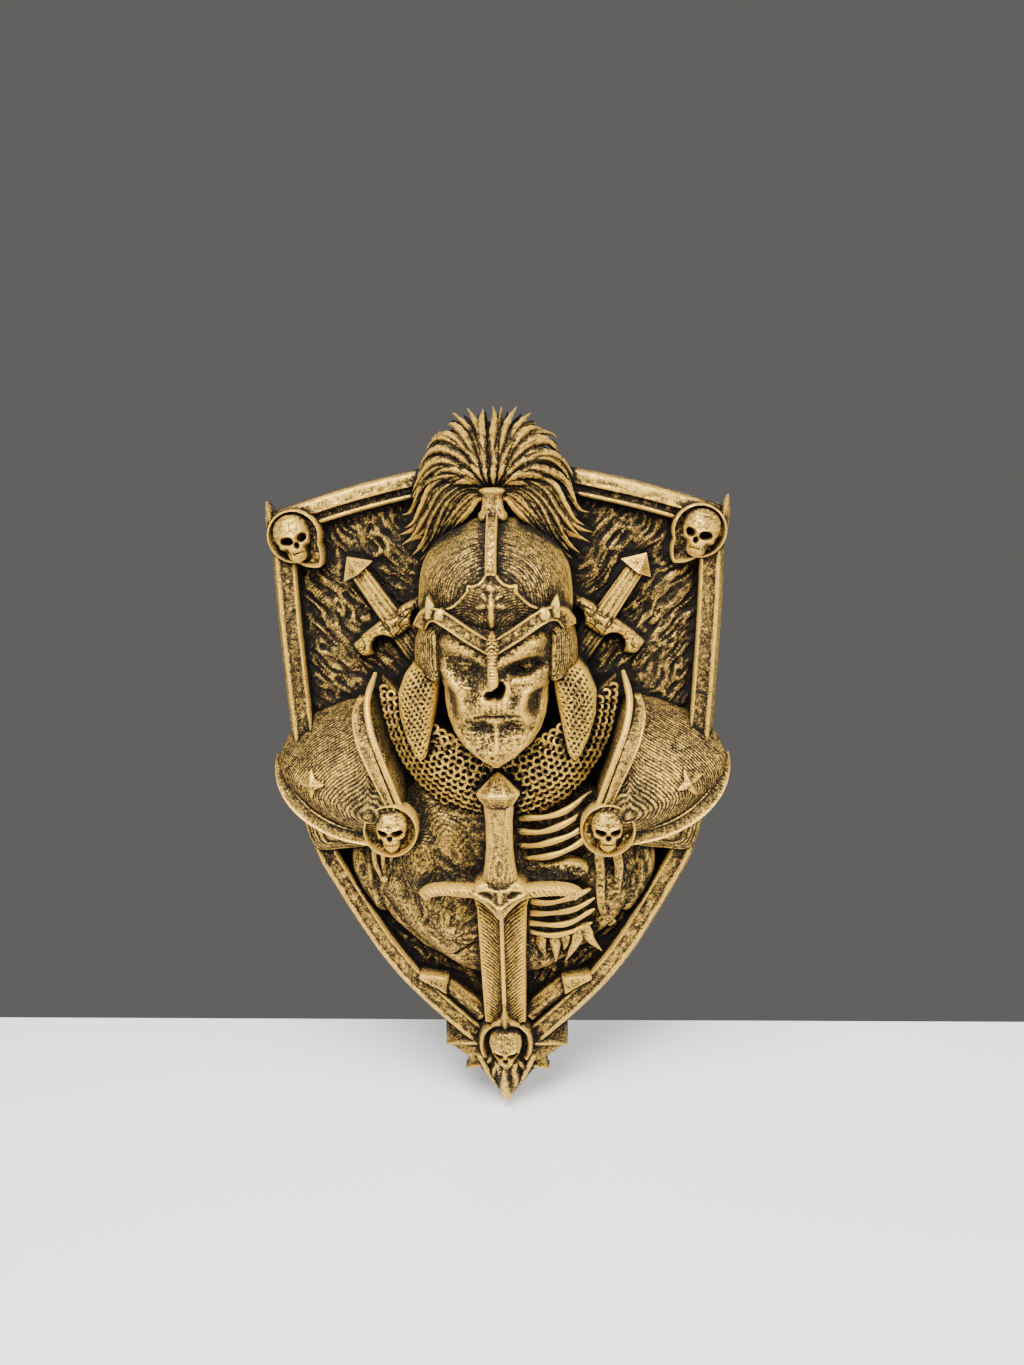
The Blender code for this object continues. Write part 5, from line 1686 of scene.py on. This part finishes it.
@dataclass
class Pauldrons:
    """Shoulder armour on both sides: dome, lame, rolled rim and strip at the neck, lower band, star."""

    steel: bpy.types.Material
    trim: bpy.types.Material
    centre: Point = (37.6, -15.8)
    crown: float = 25.4
    star: Point = (55.2, -7.8)
    outline: list[Point] = field(default_factory=lambda: [
        (37.6, 15.6), (41.4, 15.2), (47.4, 13.6), (54.8, 10.6), (60.8, 6.8), (65, 1.8), (66.8, -4.0),
        (64.6, -9.6), (57, -15.8), (49, -19.4), (40, -21.6), (31, -21.0), (28.8, -13), (32.0, -3), (34.6, 6),
        (36.2, 12),
    ])
    # The dome's height at each corner of its outline
    edge_heights: list[float] = field(default_factory=lambda: [
        9.0, 7.4, 5.6, 4.8, 4.6, 5.0, 6.6, 10.6, 15.6, 19.0, 21.4, 22.4, 22.2, 20.8, 17.6, 12.6,
    ])
    rim: list[Place] = field(default_factory=lambda: [
        (36.4, 23.0, 8), (37.9, 16.6, 15.6), (36.8, 9.6, 20.0), (34.3, 2.4, 22.4), (31.2, -6, 23.2),
        (28.0, -15.6, 22.6),
    ])
    strip: list[Place] = field(default_factory=lambda: [
        (40.6, 16.2, 10.6), (40.8, 12.2, 16.0), (39.2, 6.4, 20.8), (36.6, 0, 23.4), (33.6, -7, 24.4),
        (30.4, -15, 24.4),
    ])
    band: list[Place] = field(default_factory=lambda: [
        (67.0, -2.4, 5.2), (66.4, -6.6, 8.8), (63.8, -11.8, 12.4), (59.0, -16.6, 15.4), (52.8, -20.2, 18),
        (45.4, -22.6, 20), (36, -24.0, 21.2),
    ])
    lame: list[Point] = field(default_factory=lambda: [
        (63, -11), (60.6, -21), (56.9, -31.0), (48, -31.2), (39, -30.0), (33, -26), (36, -21), (50, -17),
    ])

    def build(self) -> Iterator[bpy.types.Object]:
        """Makes the pauldrons' pieces.

        Yields:
            Each finished piece.
        """
        domes, trims = Casting("pauldron_domes"), Casting("pauldron_trims")
        for side in Side:
            self._dome(domes, side)
            self._trims(trims, side)
            self._star(trims, side)
        yield domes.finish(self.steel)
        yield trims.finish(self.trim)

    def dome_height(self, x: Array, z: Array, share: Array) -> Array:
        """How far the dome stands out; x counts on the right side."""
        turns = np.linspace(-np.pi, np.pi, 361)[:-1]
        angles, _ = self._polar(*np.asarray(self.outline, float).T)
        heights = np.interp(turns, angles, self.edge_heights, period=2 * np.pi)
        heights = np.mean([np.roll(heights, shift) for shift in range(-16, 17)], axis=0)
        edge = np.interp(self._polar(x, z)[0], turns, heights, period=2 * np.pi)
        return edge + (self.crown - edge) * bulge(share, 1.45, 0.85)

    def share(self, x: Array, z: Array) -> Array:
        """How far out from the dome's centre to its outline a place lies; x counts on the right side."""
        angles, reach = self._polar(*smooth(self.outline, 160, closed=True).T)
        angle, away = self._polar(x, z)
        return away / np.interp(angle, angles, reach, period=2 * np.pi)

    def _polar(self, x: Array, z: Array) -> tuple[Array, Array]:
        """The angle and the distance of places, seen from the dome's centre."""
        dx, dz = x - self.centre[0], z - self.centre[1]
        return np.arctan2(dz, dx), np.hypot(dx, dz)

    def _dome(self, piece: Casting, side: Side) -> None:
        """The dome and the lame below it."""
        outline = smooth(mirrored(self.outline, side), 160, closed=True)

        def shell(x: Array, z: Array, share: Array) -> Array:
            """The dome's surface."""
            return self.dome_height(np.abs(x), z, share) + 0.02 * grain(x, z, 1.8, 81)

        piece.disc(outline, (self.centre[0] * side.value, self.centre[1]), 180, 52, shell, 3.0)
        lame = smooth(mirrored(self.lame, side), 100, closed=True)

        def skirt(x: Array, z: Array, share: Array) -> Array:
            """The lower plate with a fine raised edge."""
            edge = 0.4 * ramp(share, 0.86, 0.92)
            return 8.0 + 4.6 * bulge(share, 2.4) + edge + 0.05 * grain(x, z, 1.5, 82)

        piece.disc(lame, (48 * side.value, -24), 100, 22, skirt, 3.0)

    def _trims(self, piece: Casting, side: Side) -> None:
        """The rolled rim along the neck, the strip beside it and the lower band."""
        rim = smooth(mirrored(self.rim, side), 110)
        piece.tube(rim, np.interp(np.linspace(0, 1, 110), [0, 0.12, 1], [0.6, 0.98, 0.98]), 16)

        def bed(along: Array, sideways: Array) -> Array:
            """The rough bed between the band's edges."""
            return (np.abs(sideways) < 1.4) * 0.1 * grain(along, sideways, 0.8, 83)

        section = [
            (-2.4, -2.4), (-2.3, 0.1), (-2.0, 0.7), (-1.6, 0.4), (-1.4, 0.0), (1.4, 0.0), (1.6, 0.4),
            (2.0, 0.7), (2.3, 0.1), (2.4, -2.4),
        ]
        widths = (0.45, 0.9, 1.05, 1.0, 1.0, 1.0)
        piece.band(mirrored(self.band, side), facing(section, side), 4.0, 0.4, bed, widths=widths)
        lip = [
            (-2.1, -3.0), (-2.0, 0.0), (-1.2, 0.2), (1.1, 0.1), (1.3, 0.55), (1.7, 0.55), (1.9, 0.0),
            (2.0, -3.0),
        ]
        widths = (0.5, 1.0, 1.1, 0.9, 0.7, 0.5)
        piece.band(mirrored(self.strip, side), facing(lip, side), 5.0, 0.5, widths=widths)

    def _star(self, piece: Casting, side: Side) -> None:
        """The four-pointed star stud."""
        x, z = self.star[0] * side.value, self.star[1]
        corners = []
        for i in range(8):
            reach = 4.3 if i % 2 == 0 else 1.75
            angle = math.radians(45 * i + (24 if side is Side.RIGHT else 2))
            corners.append((x + reach * math.cos(angle), z + reach * math.sin(angle)))
        outline = even(np.asarray([*corners, corners[0]], float), 97)[:-1]

        def stud(px: Array, pz: Array, share: Array) -> Array:
            """Rises to the middle, above the dome."""
            right = np.abs(px)
            return self.dome_height(right, pz, self.share(right, pz)) + 1.0 + 1.4 * (1 - share)

        piece.disc(outline, (x, z), 96, 8, stud, 6.0)


# Body


@dataclass
class Body:
    """The chest: a draped left half and bared ribs with torn straps on the right."""

    cloth: bpy.types.Material
    bone: bpy.types.Material
    rib_radius: float = 1.35
    ribs: list[list[Place]] = field(default_factory=lambda: [
        [(4, -20.4, 13.0), (12, -19.6, 14.8), (20, -16.8, 15.2), (27, -12.6, 12)],
        [(4, -24.6, 13.0), (12, -23.8, 15.0), (20, -21.0, 15.4), (27, -16.8, 12)],
        [(4, -29.0, 12.4), (12, -28.0, 15.0), (20, -25.2, 15.4), (27, -21.4, 12)],
        [(5, -33.4, 12), (13, -32.2, 14.6), (20, -29.4, 14.8), (28, -25.6, 12)],
        [(6, -44.2, 10.6), (14, -44.4, 11.0), (21, -43.2, 10.4), (27.2, -40.8, 8.8)],
        [(6, -47.0, 12.0), (14, -47.1, 13.4), (21, -45.7, 13.2), (27.8, -42.6, 11.0)],
        [(6, -50.4, 12.4), (14, -50.6, 13.8), (21, -49.3, 13.6), (27.8, -46.4, 11.6)],
        [(6, -53.8, 12.6), (14, -54.2, 14.0), (21, -53.0, 13.8), (27.8, -50.0, 11.8)],
        [(6, -57.0, 12.2), (14, -57.6, 13.4), (21, -56.8, 13.0), (27.0, -54.4, 11.2)],
    ])
    straps: list[list[Place]] = field(default_factory=lambda: [
        [(28.8, -27, 16), (29.4, -36, 14.8), (29.6, -45, 12.6), (30.8, -52, 10), (33.4, -56.6, 7.4)],
        [(33.2, -27, 15.6), (35.0, -35, 14.2), (34.4, -43, 12), (34.8, -50, 9)],
    ])
    # The torn strips that hang below the ribs
    shards: list[list[Place]] = field(default_factory=lambda: [
        [(11, -57.4, 12.4), (11.6, -61.4, 12.6), (12.8, -66.4, 11.6)],
        [(15.6, -57.4, 12.8), (15.9, -62, 12.8), (15.9, -67.4, 11.6)],
        [(23.4, -55.8, 12.2), (21.6, -61.4, 12.4), (18.8, -67.4, 10.8)],
        [(24.6, -54.6, 12), (26.4, -59.6, 11.8), (30.0, -64.6, 9.6)],
        [(8.6, -57.6, 12.2), (9.2, -60.6, 12), (10.8, -64.6, 11.8)],
        [(18.6, -57.4, 12.4), (18.9, -60.6, 12.2), (18.3, -63.6, 11.4)],
    ])

    def build(self) -> Iterator[bpy.types.Object]:
        """Makes the chest's pieces.

        Yields:
            Each finished piece.
        """
        yield self._chest()
        yield self._ribs()
        yield self._straps()

    def _chest(self) -> bpy.types.Object:
        """The draped body and the two upper arms."""
        piece = Casting("chest")
        folds = [
            ([(-22, -14), (-16, -22), (-12, -33), (-11, -42)], 3.0, 1.0),
            ([(-27, -16), (-21, -26), (-18, -38), (-20, -50)], 2.2, -0.9),
            ([(-26, -30), (-24, -42), (-16, -56)], 3.0, 0.9),
            ([(-33, -42), (-26, -54), (-14, -66)], 2.4, 1.0),
            ([(-19, -30), (-12, -36), (-6, -38)], 1.5, -0.8),
            ([(-15, -64), (-9.3, -60), (-4, -58)], 0.5, -1.2),
            ([(-36, -46), (-28, -58), (-16, -69)], 1.3, -0.8), ([(9, -58), (18, -66), (26, -60)], 2.0, 0.8),
        ]
        half_widths = [
            (24, -9.6), (27, -12), (40, -26), (43, -36), (40.5, -46), (34.5, -55), (26, -63), (14, -70.5),
            (2, -74),
        ]
        top, bottom = half_widths[0][1], half_widths[-1][1]

        def body(u: Array, v: Array) -> Places:
            """The chest's surface."""
            z = (top + bottom) / 2 + (top - bottom) / 2 * v
            half = value_at(half_widths, z)
            x = u * half
            height = 5.4 + 10.0 * bulge(u, 3) * bulge(v, 3.4)
            height = height + knoll(x, z, (-22, -30), (8, 9), 3.0) + knoll(x, z, (-14, -48), (9, 9), 1.6)
            height = height + knoll(x, z, (17, -27), (12.5, 12), -5.0, edge=2.4)
            height = height + knoll(x, z, (17, -51), (13, 13), -7.4, edge=2.4)
            for path, width, rise in folds:
                height = height + stroke(x, z, path, width, rise)
            bent_x, bent_z = x + 1.6 * grain(x, z, 6, 88), z + 1.6 * grain(x, z, 6, 89)
            across, along = bent_x * 0.82 - bent_z * 0.57, bent_x * 0.57 + bent_z * 0.82
            strokes = 1 - 2 * np.abs(grain(across / 0.62, along / 4.6, 1.0, 90))
            rough = 0.04 * grain(x, z, 0.9, 91) + 0.05 * grain(x, z, 2.6, 92) + 0.16 * strokes
            rag = ramp(x, 4, 8) * (0.5 * np.abs(grain(x, z, 3.0, 93)) + 0.3 * grain(x, z, 1.3, 94))
            edge = bulge(u, 30, 1)
            return x, z, height + (rough + rag) * edge

        piece.patch(186, 138, body, 3.4)
        stump = [(38, -26), (45, -30), (46.2, -38), (43.2, -46), (38.2, -52.4), (35, -50), (34, -38)]

        def arm(x: Array, z: Array, share: Array) -> Array:
            """The upper arm with its ragged sleeve."""
            creases = 0.6 * grain(x, z * 0.3, 1.4, 95) + 0.2 * grain(x, z, 0.9, 96)
            return 6.2 + 4.0 * bulge(share) + creases * (1 - share**4)

        for side in Side:
            outline = smooth(mirrored(stump, side), 90, closed=True)
            piece.disc(outline, (40 * side.value, -39), 110, 26, arm, 3.4)
        rags = [(8, -33.5), (14, -34.5), (21, -33.2), (26, -35), (25, -38.6), (16, -40.0), (8, -39.4)]

        def rag(x: Array, z: Array, share: Array) -> Array:
            """The torn cloth over the ribs."""
            creases = 0.9 * grain(x, z, 1.8, 97) + 0.4 * grain(x, z, 0.8, 98)
            return 13.0 + 2.4 * bulge(share) + creases

        piece.disc(smooth(rags, 60, closed=True), (17, -36.8), 90, 20, rag, 8.0)
        return piece.finish(self.cloth)

    def _ribs(self) -> bpy.types.Object:
        """The bared ribs, knobbly and tapering at their ends."""
        piece = Casting("ribs")
        for number, rib in enumerate(self.ribs):
            path = smooth(rib, 60)
            t = np.linspace(0, 1, 60)
            path[:, 1] += 0.2 * np.sin(t * 9 + number * 1.7)
            radii = self.rib_radius * (0.86 + 0.14 * np.sin(t * 13 + number)) * (0.68 if number < 4 else 0.6)
            radii = radii * np.minimum(1, 4 * (1.02 - t) ** 0.7)
            piece.tube(path, radii, 18, flat=1.1)
        return piece.finish(self.bone)

    def _straps(self) -> bpy.types.Object:
        """Torn straps on the right, and the cords and knot on the left."""
        piece = Casting("straps")

        def worn(along: Array, sideways: Array) -> Array:
            """Frayed leather with small rivets."""
            rivets = 0.5 * np.exp(-(((along % 4.4 - 2.2) / 0.5) ** 2) - (sideways / 0.5) ** 2)
            return 0.22 * grain(along, sideways, 0.9, 99) + 0.2 * grain(along, sideways, 2.2, 100) + rivets

        section = [(-1.4, -1.4), (-1.25, 0.2), (-0.7, 0.5), (0.7, 0.5), (1.25, 0.2), (1.4, -1.4)]
        for strap in self.straps:
            piece.band(strap, section, 4.0, 0.4, worn)
        for shard in self.shards:
            path = smooth(shard, 24)
            piece.tube(path, np.interp(np.linspace(0, 1, 24), [0, 0.25, 1], [0.9, 1.35, 0.08]), 8, flat=1.3)
        for x in (-37.8, -35.2, -32.6):
            end = -35.6 + (x + 35.2) * 0.35
            path = smooth([(x, -27, 15.2), (x - 0.7, -34, 12.4), (end, -39.6, 11.6)], 30)
            piece.tube(path, np.full(30, 0.75), 10)
        knot = [(-37.2, -39), (-35.6, -37.8), (-33.9, -39), (-34.0, -40.8), (-35.6, -41.6), (-37.2, -40.8)]

        def bead(x: Array, z: Array, share: Array) -> Array:
            """The knot's round top."""
            return 11.2 + 1.8 * bulge(share)

        piece.disc(smooth(knot, 30, closed=True), (-35.6, -39.7), 30, 8, bead, 6.0)
        for end in (-37.0, -34.4):
            tail = smooth([(-35.6, -41, 11.4), (end, -44, 10.4), (end - 0.2, -47, 9.0)], 20)
            piece.tube(tail, np.linspace(0.8, 0.3, 20), 8)
        return piece.finish(self.cloth)


# Main sword


@dataclass
class GreatSword:
    """The sword held point down: faceted pommel, grip, hooked guard and feathered blade."""

    finish: bpy.types.Material
    blade_finish: bpy.types.Material
    axis: float = 22.4
    shoulder: float = -40.0
    foot: float = -87.4

    def build(self) -> Iterator[bpy.types.Object]:
        """Makes the sword's pieces.

        Yields:
            Each finished piece.
        """
        yield self._hilt()
        yield self._guard()
        yield self._blade()

    def _hilt(self) -> bpy.types.Object:
        """The pommel and the grip."""
        piece = Casting("sword_hilt")
        profile = [
            (0.15, -3.2), (1.8, -4.2), (4.4, -6.6), (6.6, -8.8), (6.7, -9.4), (5.9, -10.6), (4.7, -12.4),
            (4.2, -13.0), (4.3, -14.0), (3.9, -18.0), (3.9, -26.0), (4.4, -31.0), (5.1, -35.0), (5.2, -38.0),
        ]
        top, bottom = profile[0][1], profile[-1][1]

        def turned(u: Array, v: Array) -> Places:
            """A turned form, faceted in the pommel and scored on the grip."""
            z = top + (bottom - top) * (v + 1) / 2
            angle = np.pi * u
            radius = value_at(profile, z)
            pommel = ramp(z, -13.4, -12.6)
            facet = np.cos(np.pi / 8) / np.cos((angle + np.pi / 8) % (np.pi / 4) - np.pi / 8)
            radius = radius * (1 - pommel + pommel * facet)
            x, depth = radius * np.cos(angle), radius * np.sin(angle) * 0.9
            scoring = 0.12 * grain(x * 2.4, z * 0.35, 1.0, 101) * (1 - pommel)
            arch = np.abs(np.hypot(x / 1.5, (z + 31.2) / 3.0) - 1)
            relief = 0.45 * bell(arch, 0.2) * (depth > 0) * (1 - ramp(z, -27, -26))
            return x, z, self.axis + depth + scoring + relief

        piece.grid(80, 130, turned)
        return piece.finish(self.finish)

    def _guard(self) -> bpy.types.Object:
        """The guard with its twisted grooves, hooked ends and the winged boss."""
        piece = Casting("sword_guard")
        arm = [
            (0, -39.4, 26.2), (8, -39.0, 25.8), (15, -38.8, 25.0), (19.4, -39.3, 24.2), (21.6, -40.2, 23.6),
            (22.8, -41.3, 23),
        ]

        def twist(along: Array, sideways: Array) -> Array:
            """Slanting grooves along the arms."""
            grooves = 0.2 * np.sin((along + 0.9 * sideways) * 2 * np.pi / 1.5)
            return grooves * ramp(along, 6, 8) + 0.08 * grain(along, sideways, 0.8, 102)

        section = [(-1.5, -2.2), (-1.35, -0.8), (-0.8, 0.4), (0, 0.7), (0.8, 0.4), (1.35, -0.8), (1.5, -2.2)]
        for side in Side:
            piece.band(mirrored(arm, side), section, 21.0, 0.3, twist, widths=(1.6, 1.3, 1.2, 1.15, 1.3))
        boss = [(0, -36.2), (4.6, -35.6), (7.4, -37.0), (8.4, -39.6), (5.2, -42.0), (2.6, -44.6), (0, -47.4)]

        # A wing's lower and upper edge, each with how far it stands up
        edges = (
            ([(0.6, -42.6), (3.4, -40.4), (7.2, -38.8)], 0.8),
            ([(0.8, -37.6), (3.6, -37.0), (6.6, -37.6)], 0.6),
        )

        def wings(x: Array, z: Array, share: Array) -> Array:
            """A small winged mask in relief."""
            height = 25.6 + 2.2 * bulge(share, 2, 0.6)
            for s in (-1, 1):
                height = height + knoll(x, z, (s * 3.6, -38.9), (1.5, 0.7), -1.3, turn=s * 18, edge=1.8)
                for edge, rise in edges:
                    height = height + stroke(x, z, [(s * px, pz) for px, pz in edge], 0.5, rise)
            height = height + knoll(x, z, (0, -39.6), (0.8, 2.6), 1.0)
            height = height + knoll(x, z, (0, -43.2), (1.2, 1.2), 0.7)
            return height + 0.08 * grain(x, z, 0.7, 103)

        outline = smooth(both_halves(boss), 100, closed=True)
        piece.disc(outline, (0, -40.4), 120, 30, wings, 14.0)
        return piece.finish(self.finish)

    def _blade(self) -> bpy.types.Object:
        """The blade: a middle rail, feathered flats and plain edges."""
        piece = Casting("sword_blade")

        def feathered(u: Array, v: Array) -> Places:
            """The blade's places."""
            z = self.foot + (self.shoulder - self.foot) * (v + 1) / 2
            half = np.interp(z, [-88, -60, -46, -43.4, -40], [6.3, 6.9, 7.4, 8.2, 9.2])
            x = u * half
            out = np.abs(x)
            spine = np.interp(z, [-88, -76, -60, -40], [12.8, 16.8, 19.8, 21.0])
            height = spine - 1.0 * out / half
            rail = 1.0 * (1 - ramp(out, 0.42, 0.7))
            flat = ramp(out, 0.7, 1.0) * (1 - ramp(out, half - 0.8, half - 0.5))
            phase = (z - 1.25 * out + 0.05 * out**2) / 1.3
            phase = phase + 0.22 * grain(x, z, 2.6, 105)
            barbs = 0.3 * (np.abs(phase % 1 - 0.5) * 4 - 1) * flat
            edge = 0.3 * ramp(out, half - 0.7, half - 0.5) - 1.2 * ramp(out, half - 0.3, half)
            return x, z, height + rail + barbs + edge + 0.08 * grain(x, z * 0.4, 0.8, 104) * (out > 1)

        piece.patch(84, 250, feathered, 4.0)
        return piece.finish(self.blade_finish)


# Foot of the shield


@dataclass
class Finial:
    """The pointed foot: stepped block, spikes, pointed hood and a bearded skull."""

    finish: bpy.types.Material
    tip: float = -118.9

    def build(self) -> bpy.types.Object:
        """Makes the finial."""
        piece = Casting("finial")
        block = [
            (0, -82), (9, -87), (19.3, -89.6), (19.4, -98.2), (12.5, -103.4), (12.8, -106.8), (8.9, -107.2),
            (0, self.tip),
        ]
        piece.slab(both_halves(block), 0.3, 5.0, [(0.9, 1.5), (0.7, 0.2)])
        hood = [
            (0, -80.0), (0.9, -83.8), (2.6, -86.4), (6.2, -88.2), (8.6, -91.6), (9.0, -97), (7.2, -103),
            (4.0, -110), (0, -117.6),
        ]

        def pointed(x: Array, z: Array, share: Array) -> Array:
            """The hood: an outer rib, a hollow inside it, and fans down to its point."""
            height = 6.6 + 6.4 * bulge(share, 2, 0.4)
            upper = ramp(z, -102, -98)
            height = height + upper * (2.6 * bell(share - 0.84, 0.1) - 1.4 * bell(share - 0.62, 0.12))
            fans = 0.7 * np.sin(np.arctan2(x, z + 94) * 22) * ramp(share, 0.3, 0.6) * (1 - upper)
            return height + fans + 0.15 * grain(x, z, 0.9, 111)

        piece.disc(smooth(both_halves(hood), 150, closed=True), (0, -95.4), 160, 42, pointed, 2.0)
        spire = [(0, -78.6), (0.6, -82.4), (1.5, -85.2), (3.4, -87.2), (4.6, -88.8), (2.6, -90.2), (0, -90.8)]
        slope = [(17.4, -79), (16.4, -83), (14.2, -87), (10.6, -91)]

        def ogee(x: Array, z: Array, share: Array) -> Array:
            """The hood's point, ridged, lying over the blade's foot."""
            ridge = stroke(x, z, [(0, -78), (0, -89)], 0.6, 1.0)
            return value_at(slope, z) + 1.0 * bulge(share) + ridge

        piece.disc(smooth(both_halves(spire), 110, closed=True), (0, -87.6), 110, 20, ogee, 6.0)
        Skull((0, -95.0), 12.6, 5.1, nod=0.3).add_to(piece, 4.0)
        # The beard's locks on the right, each with its radius at the top and at the end
        beard = (
            ([(8.4, -99.6, 9.8), (5.2, -107.4, 9.2), (0.3, self.tip + 1.6, 5.4)], 1.25, 0.5),
            ([(2.6, -101.0, 12.6), (1.8, -107.4, 10.4), (0.2, self.tip + 2.4, 6.4)], 1.1, 0.4),
        )
        for side in Side:
            s = side.value
            piece.patch(34, 26, self._spike((4.6 * s, -95.6), (19.4 * s, -98.0), 5.8, 10.4), 2.0)
            piece.patch(26, 20, self._spike((4.0 * s, -103.4), (13.4 * s, -106.7), 3.6, 9.2), 2.0)
            for lock, thick, thin in beard:
                piece.tube(smooth(mirrored(lock, side), 40), np.linspace(thick, thin, 40), 12)
        return piece.finish(self.finish)

    @staticmethod
    def _spike(root: Point, tip: Point, half: float, crown: float) -> Shape:
        """A broad flat spike with a ridge along it.

        Args:
            root: Middle of its base.
            tip: Its point.
            half: Half its width at the base.
            crown: Height of the ridge at the base.

        Returns:
            The shape for a patch.
        """

        def facets(u: Array, v: Array) -> Places:
            """The spike's places, u from root to tip and v across it."""
            share = (u + 1) / 2
            x = root[0] + (tip[0] - root[0]) * share
            wide = half * (1 - share) + 0.06
            z = root[1] + (tip[1] - root[1]) * share + wide * v
            return x, z, 5.4 + (crown - 5.4) * (1 - 0.62 * share) * (1 - np.abs(v)) + 0.9 * (1 - share)

        return facets


# Studio


@dataclass
class Studio:
    """The pale floor, the soft lights and the camera at the photograph's angle."""

    focal: float = 31.15
    camera_place: tuple[float, float, float] = (19.8, -346.1, 97.4)
    pitch: float = 12.9
    yaw: float = 2.7
    roll: float = 1.1
    floor_tilt: float = 10.5
    floor_height: float = -119.2
    floor_end: float = 35.6
    # Half the floor's width and depth, in metres
    floor_half: tuple[float, float] = (1.2, 0.6)

    def build(self) -> None:
        """Sets up the floor, lights, world and camera."""
        self._floor()
        self._world()
        self._light("softbox_above", (-60, -330, 420), (0, 0, -10), 320, 9.0)
        self._light("softbox_right", (420, -260, 160), (0, 0, 0), 260, 3.1)
        self._light("softbox_left", (-430, -300, 60), (0, 0, -20), 260, 1.6)
        self._light("fill_behind", (0, 520, -10), (0, 0, -10), 340, 4.0)
        self._camera()

    def _floor(self) -> None:
        """A pale board under the foot's tip, turned as the plaque leans in the photograph."""
        bm = bmesh.new()
        bmesh.ops.create_grid(bm, x_segments=4, y_segments=4, size=1.0)
        bmesh.ops.scale(bm, verts=bm.verts, vec=(*self.floor_half, 1.0))
        bmesh.ops.translate(bm, verts=bm.verts, vec=(0, self.floor_end * MM - self.floor_half[1], 0))
        tilt = Matrix.Rotation(math.radians(self.floor_tilt), 4, "X")
        bmesh.ops.transform(
            bm, verts=bm.verts, matrix=Matrix.Translation((0, 0, self.floor_height * MM)) @ tilt,
        )
        mesh = bpy.data.meshes.new("floor")
        bm.to_mesh(mesh)
        bm.free()
        material, tree, shader = new_material("pale_board")
        shader.inputs["Roughness"].default_value = 0.62
        noise = add_node(tree, "TexNoise", Scale=12)
        spread = add_node(tree, "MapRange", To_Min=0.86, To_Max=0.92)
        tree.links.new(noise.outputs["Fac"], spread.inputs["Value"])
        tree.links.new(spread.outputs["Result"], shader.inputs["Base Color"])
        mesh.materials.append(material)
        floor = bpy.data.objects.new("floor", mesh)
        bpy.context.scene.collection.objects.link(floor)

    @staticmethod
    def _world() -> None:
        """An even grey surround."""
        world = bpy.data.worlds.new("grey_surround")
        world.use_nodes = True
        background = world.node_tree.nodes["Background"]
        background.inputs["Color"].default_value = (0.125, 0.123, 0.118, 1)
        background.inputs["Strength"].default_value = 1.0
        bpy.context.scene.world = world

    @staticmethod
    def _light(name: str, place: Place, target: Place, size: float, watts: float) -> None:
        """A square soft light aimed at a target.

        Args:
            name: The light's name.
            place: Where it is, as x, y, z in millimetres.
            target: What it points at, as x, y, z in millimetres.
            size: Its width in millimetres.
            watts: Its power.
        """
        data = bpy.data.lights.new(name, "AREA")
        data.size = size * MM
        data.energy = watts
        light = bpy.data.objects.new(name, data)
        light.location = Vector(place) * MM
        light.rotation_euler = (Vector(target) - Vector(place)).to_track_quat("-Z", "Y").to_euler()
        light.visible_camera = False
        bpy.context.scene.collection.objects.link(light)

    def _camera(self) -> None:
        """The camera, from its fitted place and angles."""
        yaw, pitch, roll = (math.radians(angle) for angle in (self.yaw, self.pitch, self.roll))
        level = math.cos(pitch)
        forward = Vector((-math.sin(yaw) * level, math.cos(yaw) * level, -math.sin(pitch)))
        right = Vector((math.cos(yaw), math.sin(yaw), 0))
        up = right.cross(forward)
        axes = Matrix((
            right * math.cos(roll) - up * math.sin(roll), right * math.sin(roll) + up * math.cos(roll),
            -forward,
        )).transposed()
        data = bpy.data.cameras.new("camera")
        data.lens = self.focal
        data.clip_start = 0.01
        camera = bpy.data.objects.new("camera", data)
        camera.matrix_world = Matrix.Translation(Vector(self.camera_place) * MM) @ axes.to_4x4()
        bpy.context.scene.collection.objects.link(camera)
        bpy.context.scene.camera = camera


def main() -> None:
    """Builds every piece, reads its exposure from the whole relief, and sets up the studio."""
    logging.basicConfig(level=logging.INFO, format="%(message)s")
    relief = AntiqueGold("relief_gold", coverage=0.49).build()
    edging = AntiqueGold("frame_gold", coverage=0.445, contrast=1.05).build()
    ground = AntiqueGold("ground_gold", coverage=0.41, contrast=1.1).build()
    bowl = AntiqueGold("bowl_gold", coverage=0.465, streaks=0.8, layers=0.8).build()
    steel = AntiqueGold("armour_gold", coverage=0.465, contrast=0.28, streaks=1.2, layers=1.1).build()
    bone = AntiqueGold("bone_gold", coverage=0.63, layers=0.5).build()
    cloth = AntiqueGold("cloth_gold", coverage=0.53, contrast=0.75, streaks=1.1, layers=0.6).build()
    blade = AntiqueGold("blade_gold", coverage=0.76).build()
    # Near black, under the mail's rings: painted shade in the gaps between them, over the black coat
    shade = AntiqueGold("shade_black", coverage=0.16, contrast=0.8).build()
    pieces = [
        *Shield(ground, edging, PlainCoat("back_coat").build()).build(),
        corner_medallions(bone),
        CrossedSwords(relief).build(),
        *Plume(relief).build(),
        *Helmet(bowl, steel, relief).build(),
        Face(bone).build(),
        *Mail(relief, shade).build(),
        *Pauldrons(steel, relief).build(),
        shoulder_medallions(bone),
        *Body(cloth, bone).build(),
        *GreatSword(relief, blade).build(),
        Finial(relief).build(),
    ]
    Depths().paint(pieces)
    Studio().build()


if __name__ == "__main__":
    main()
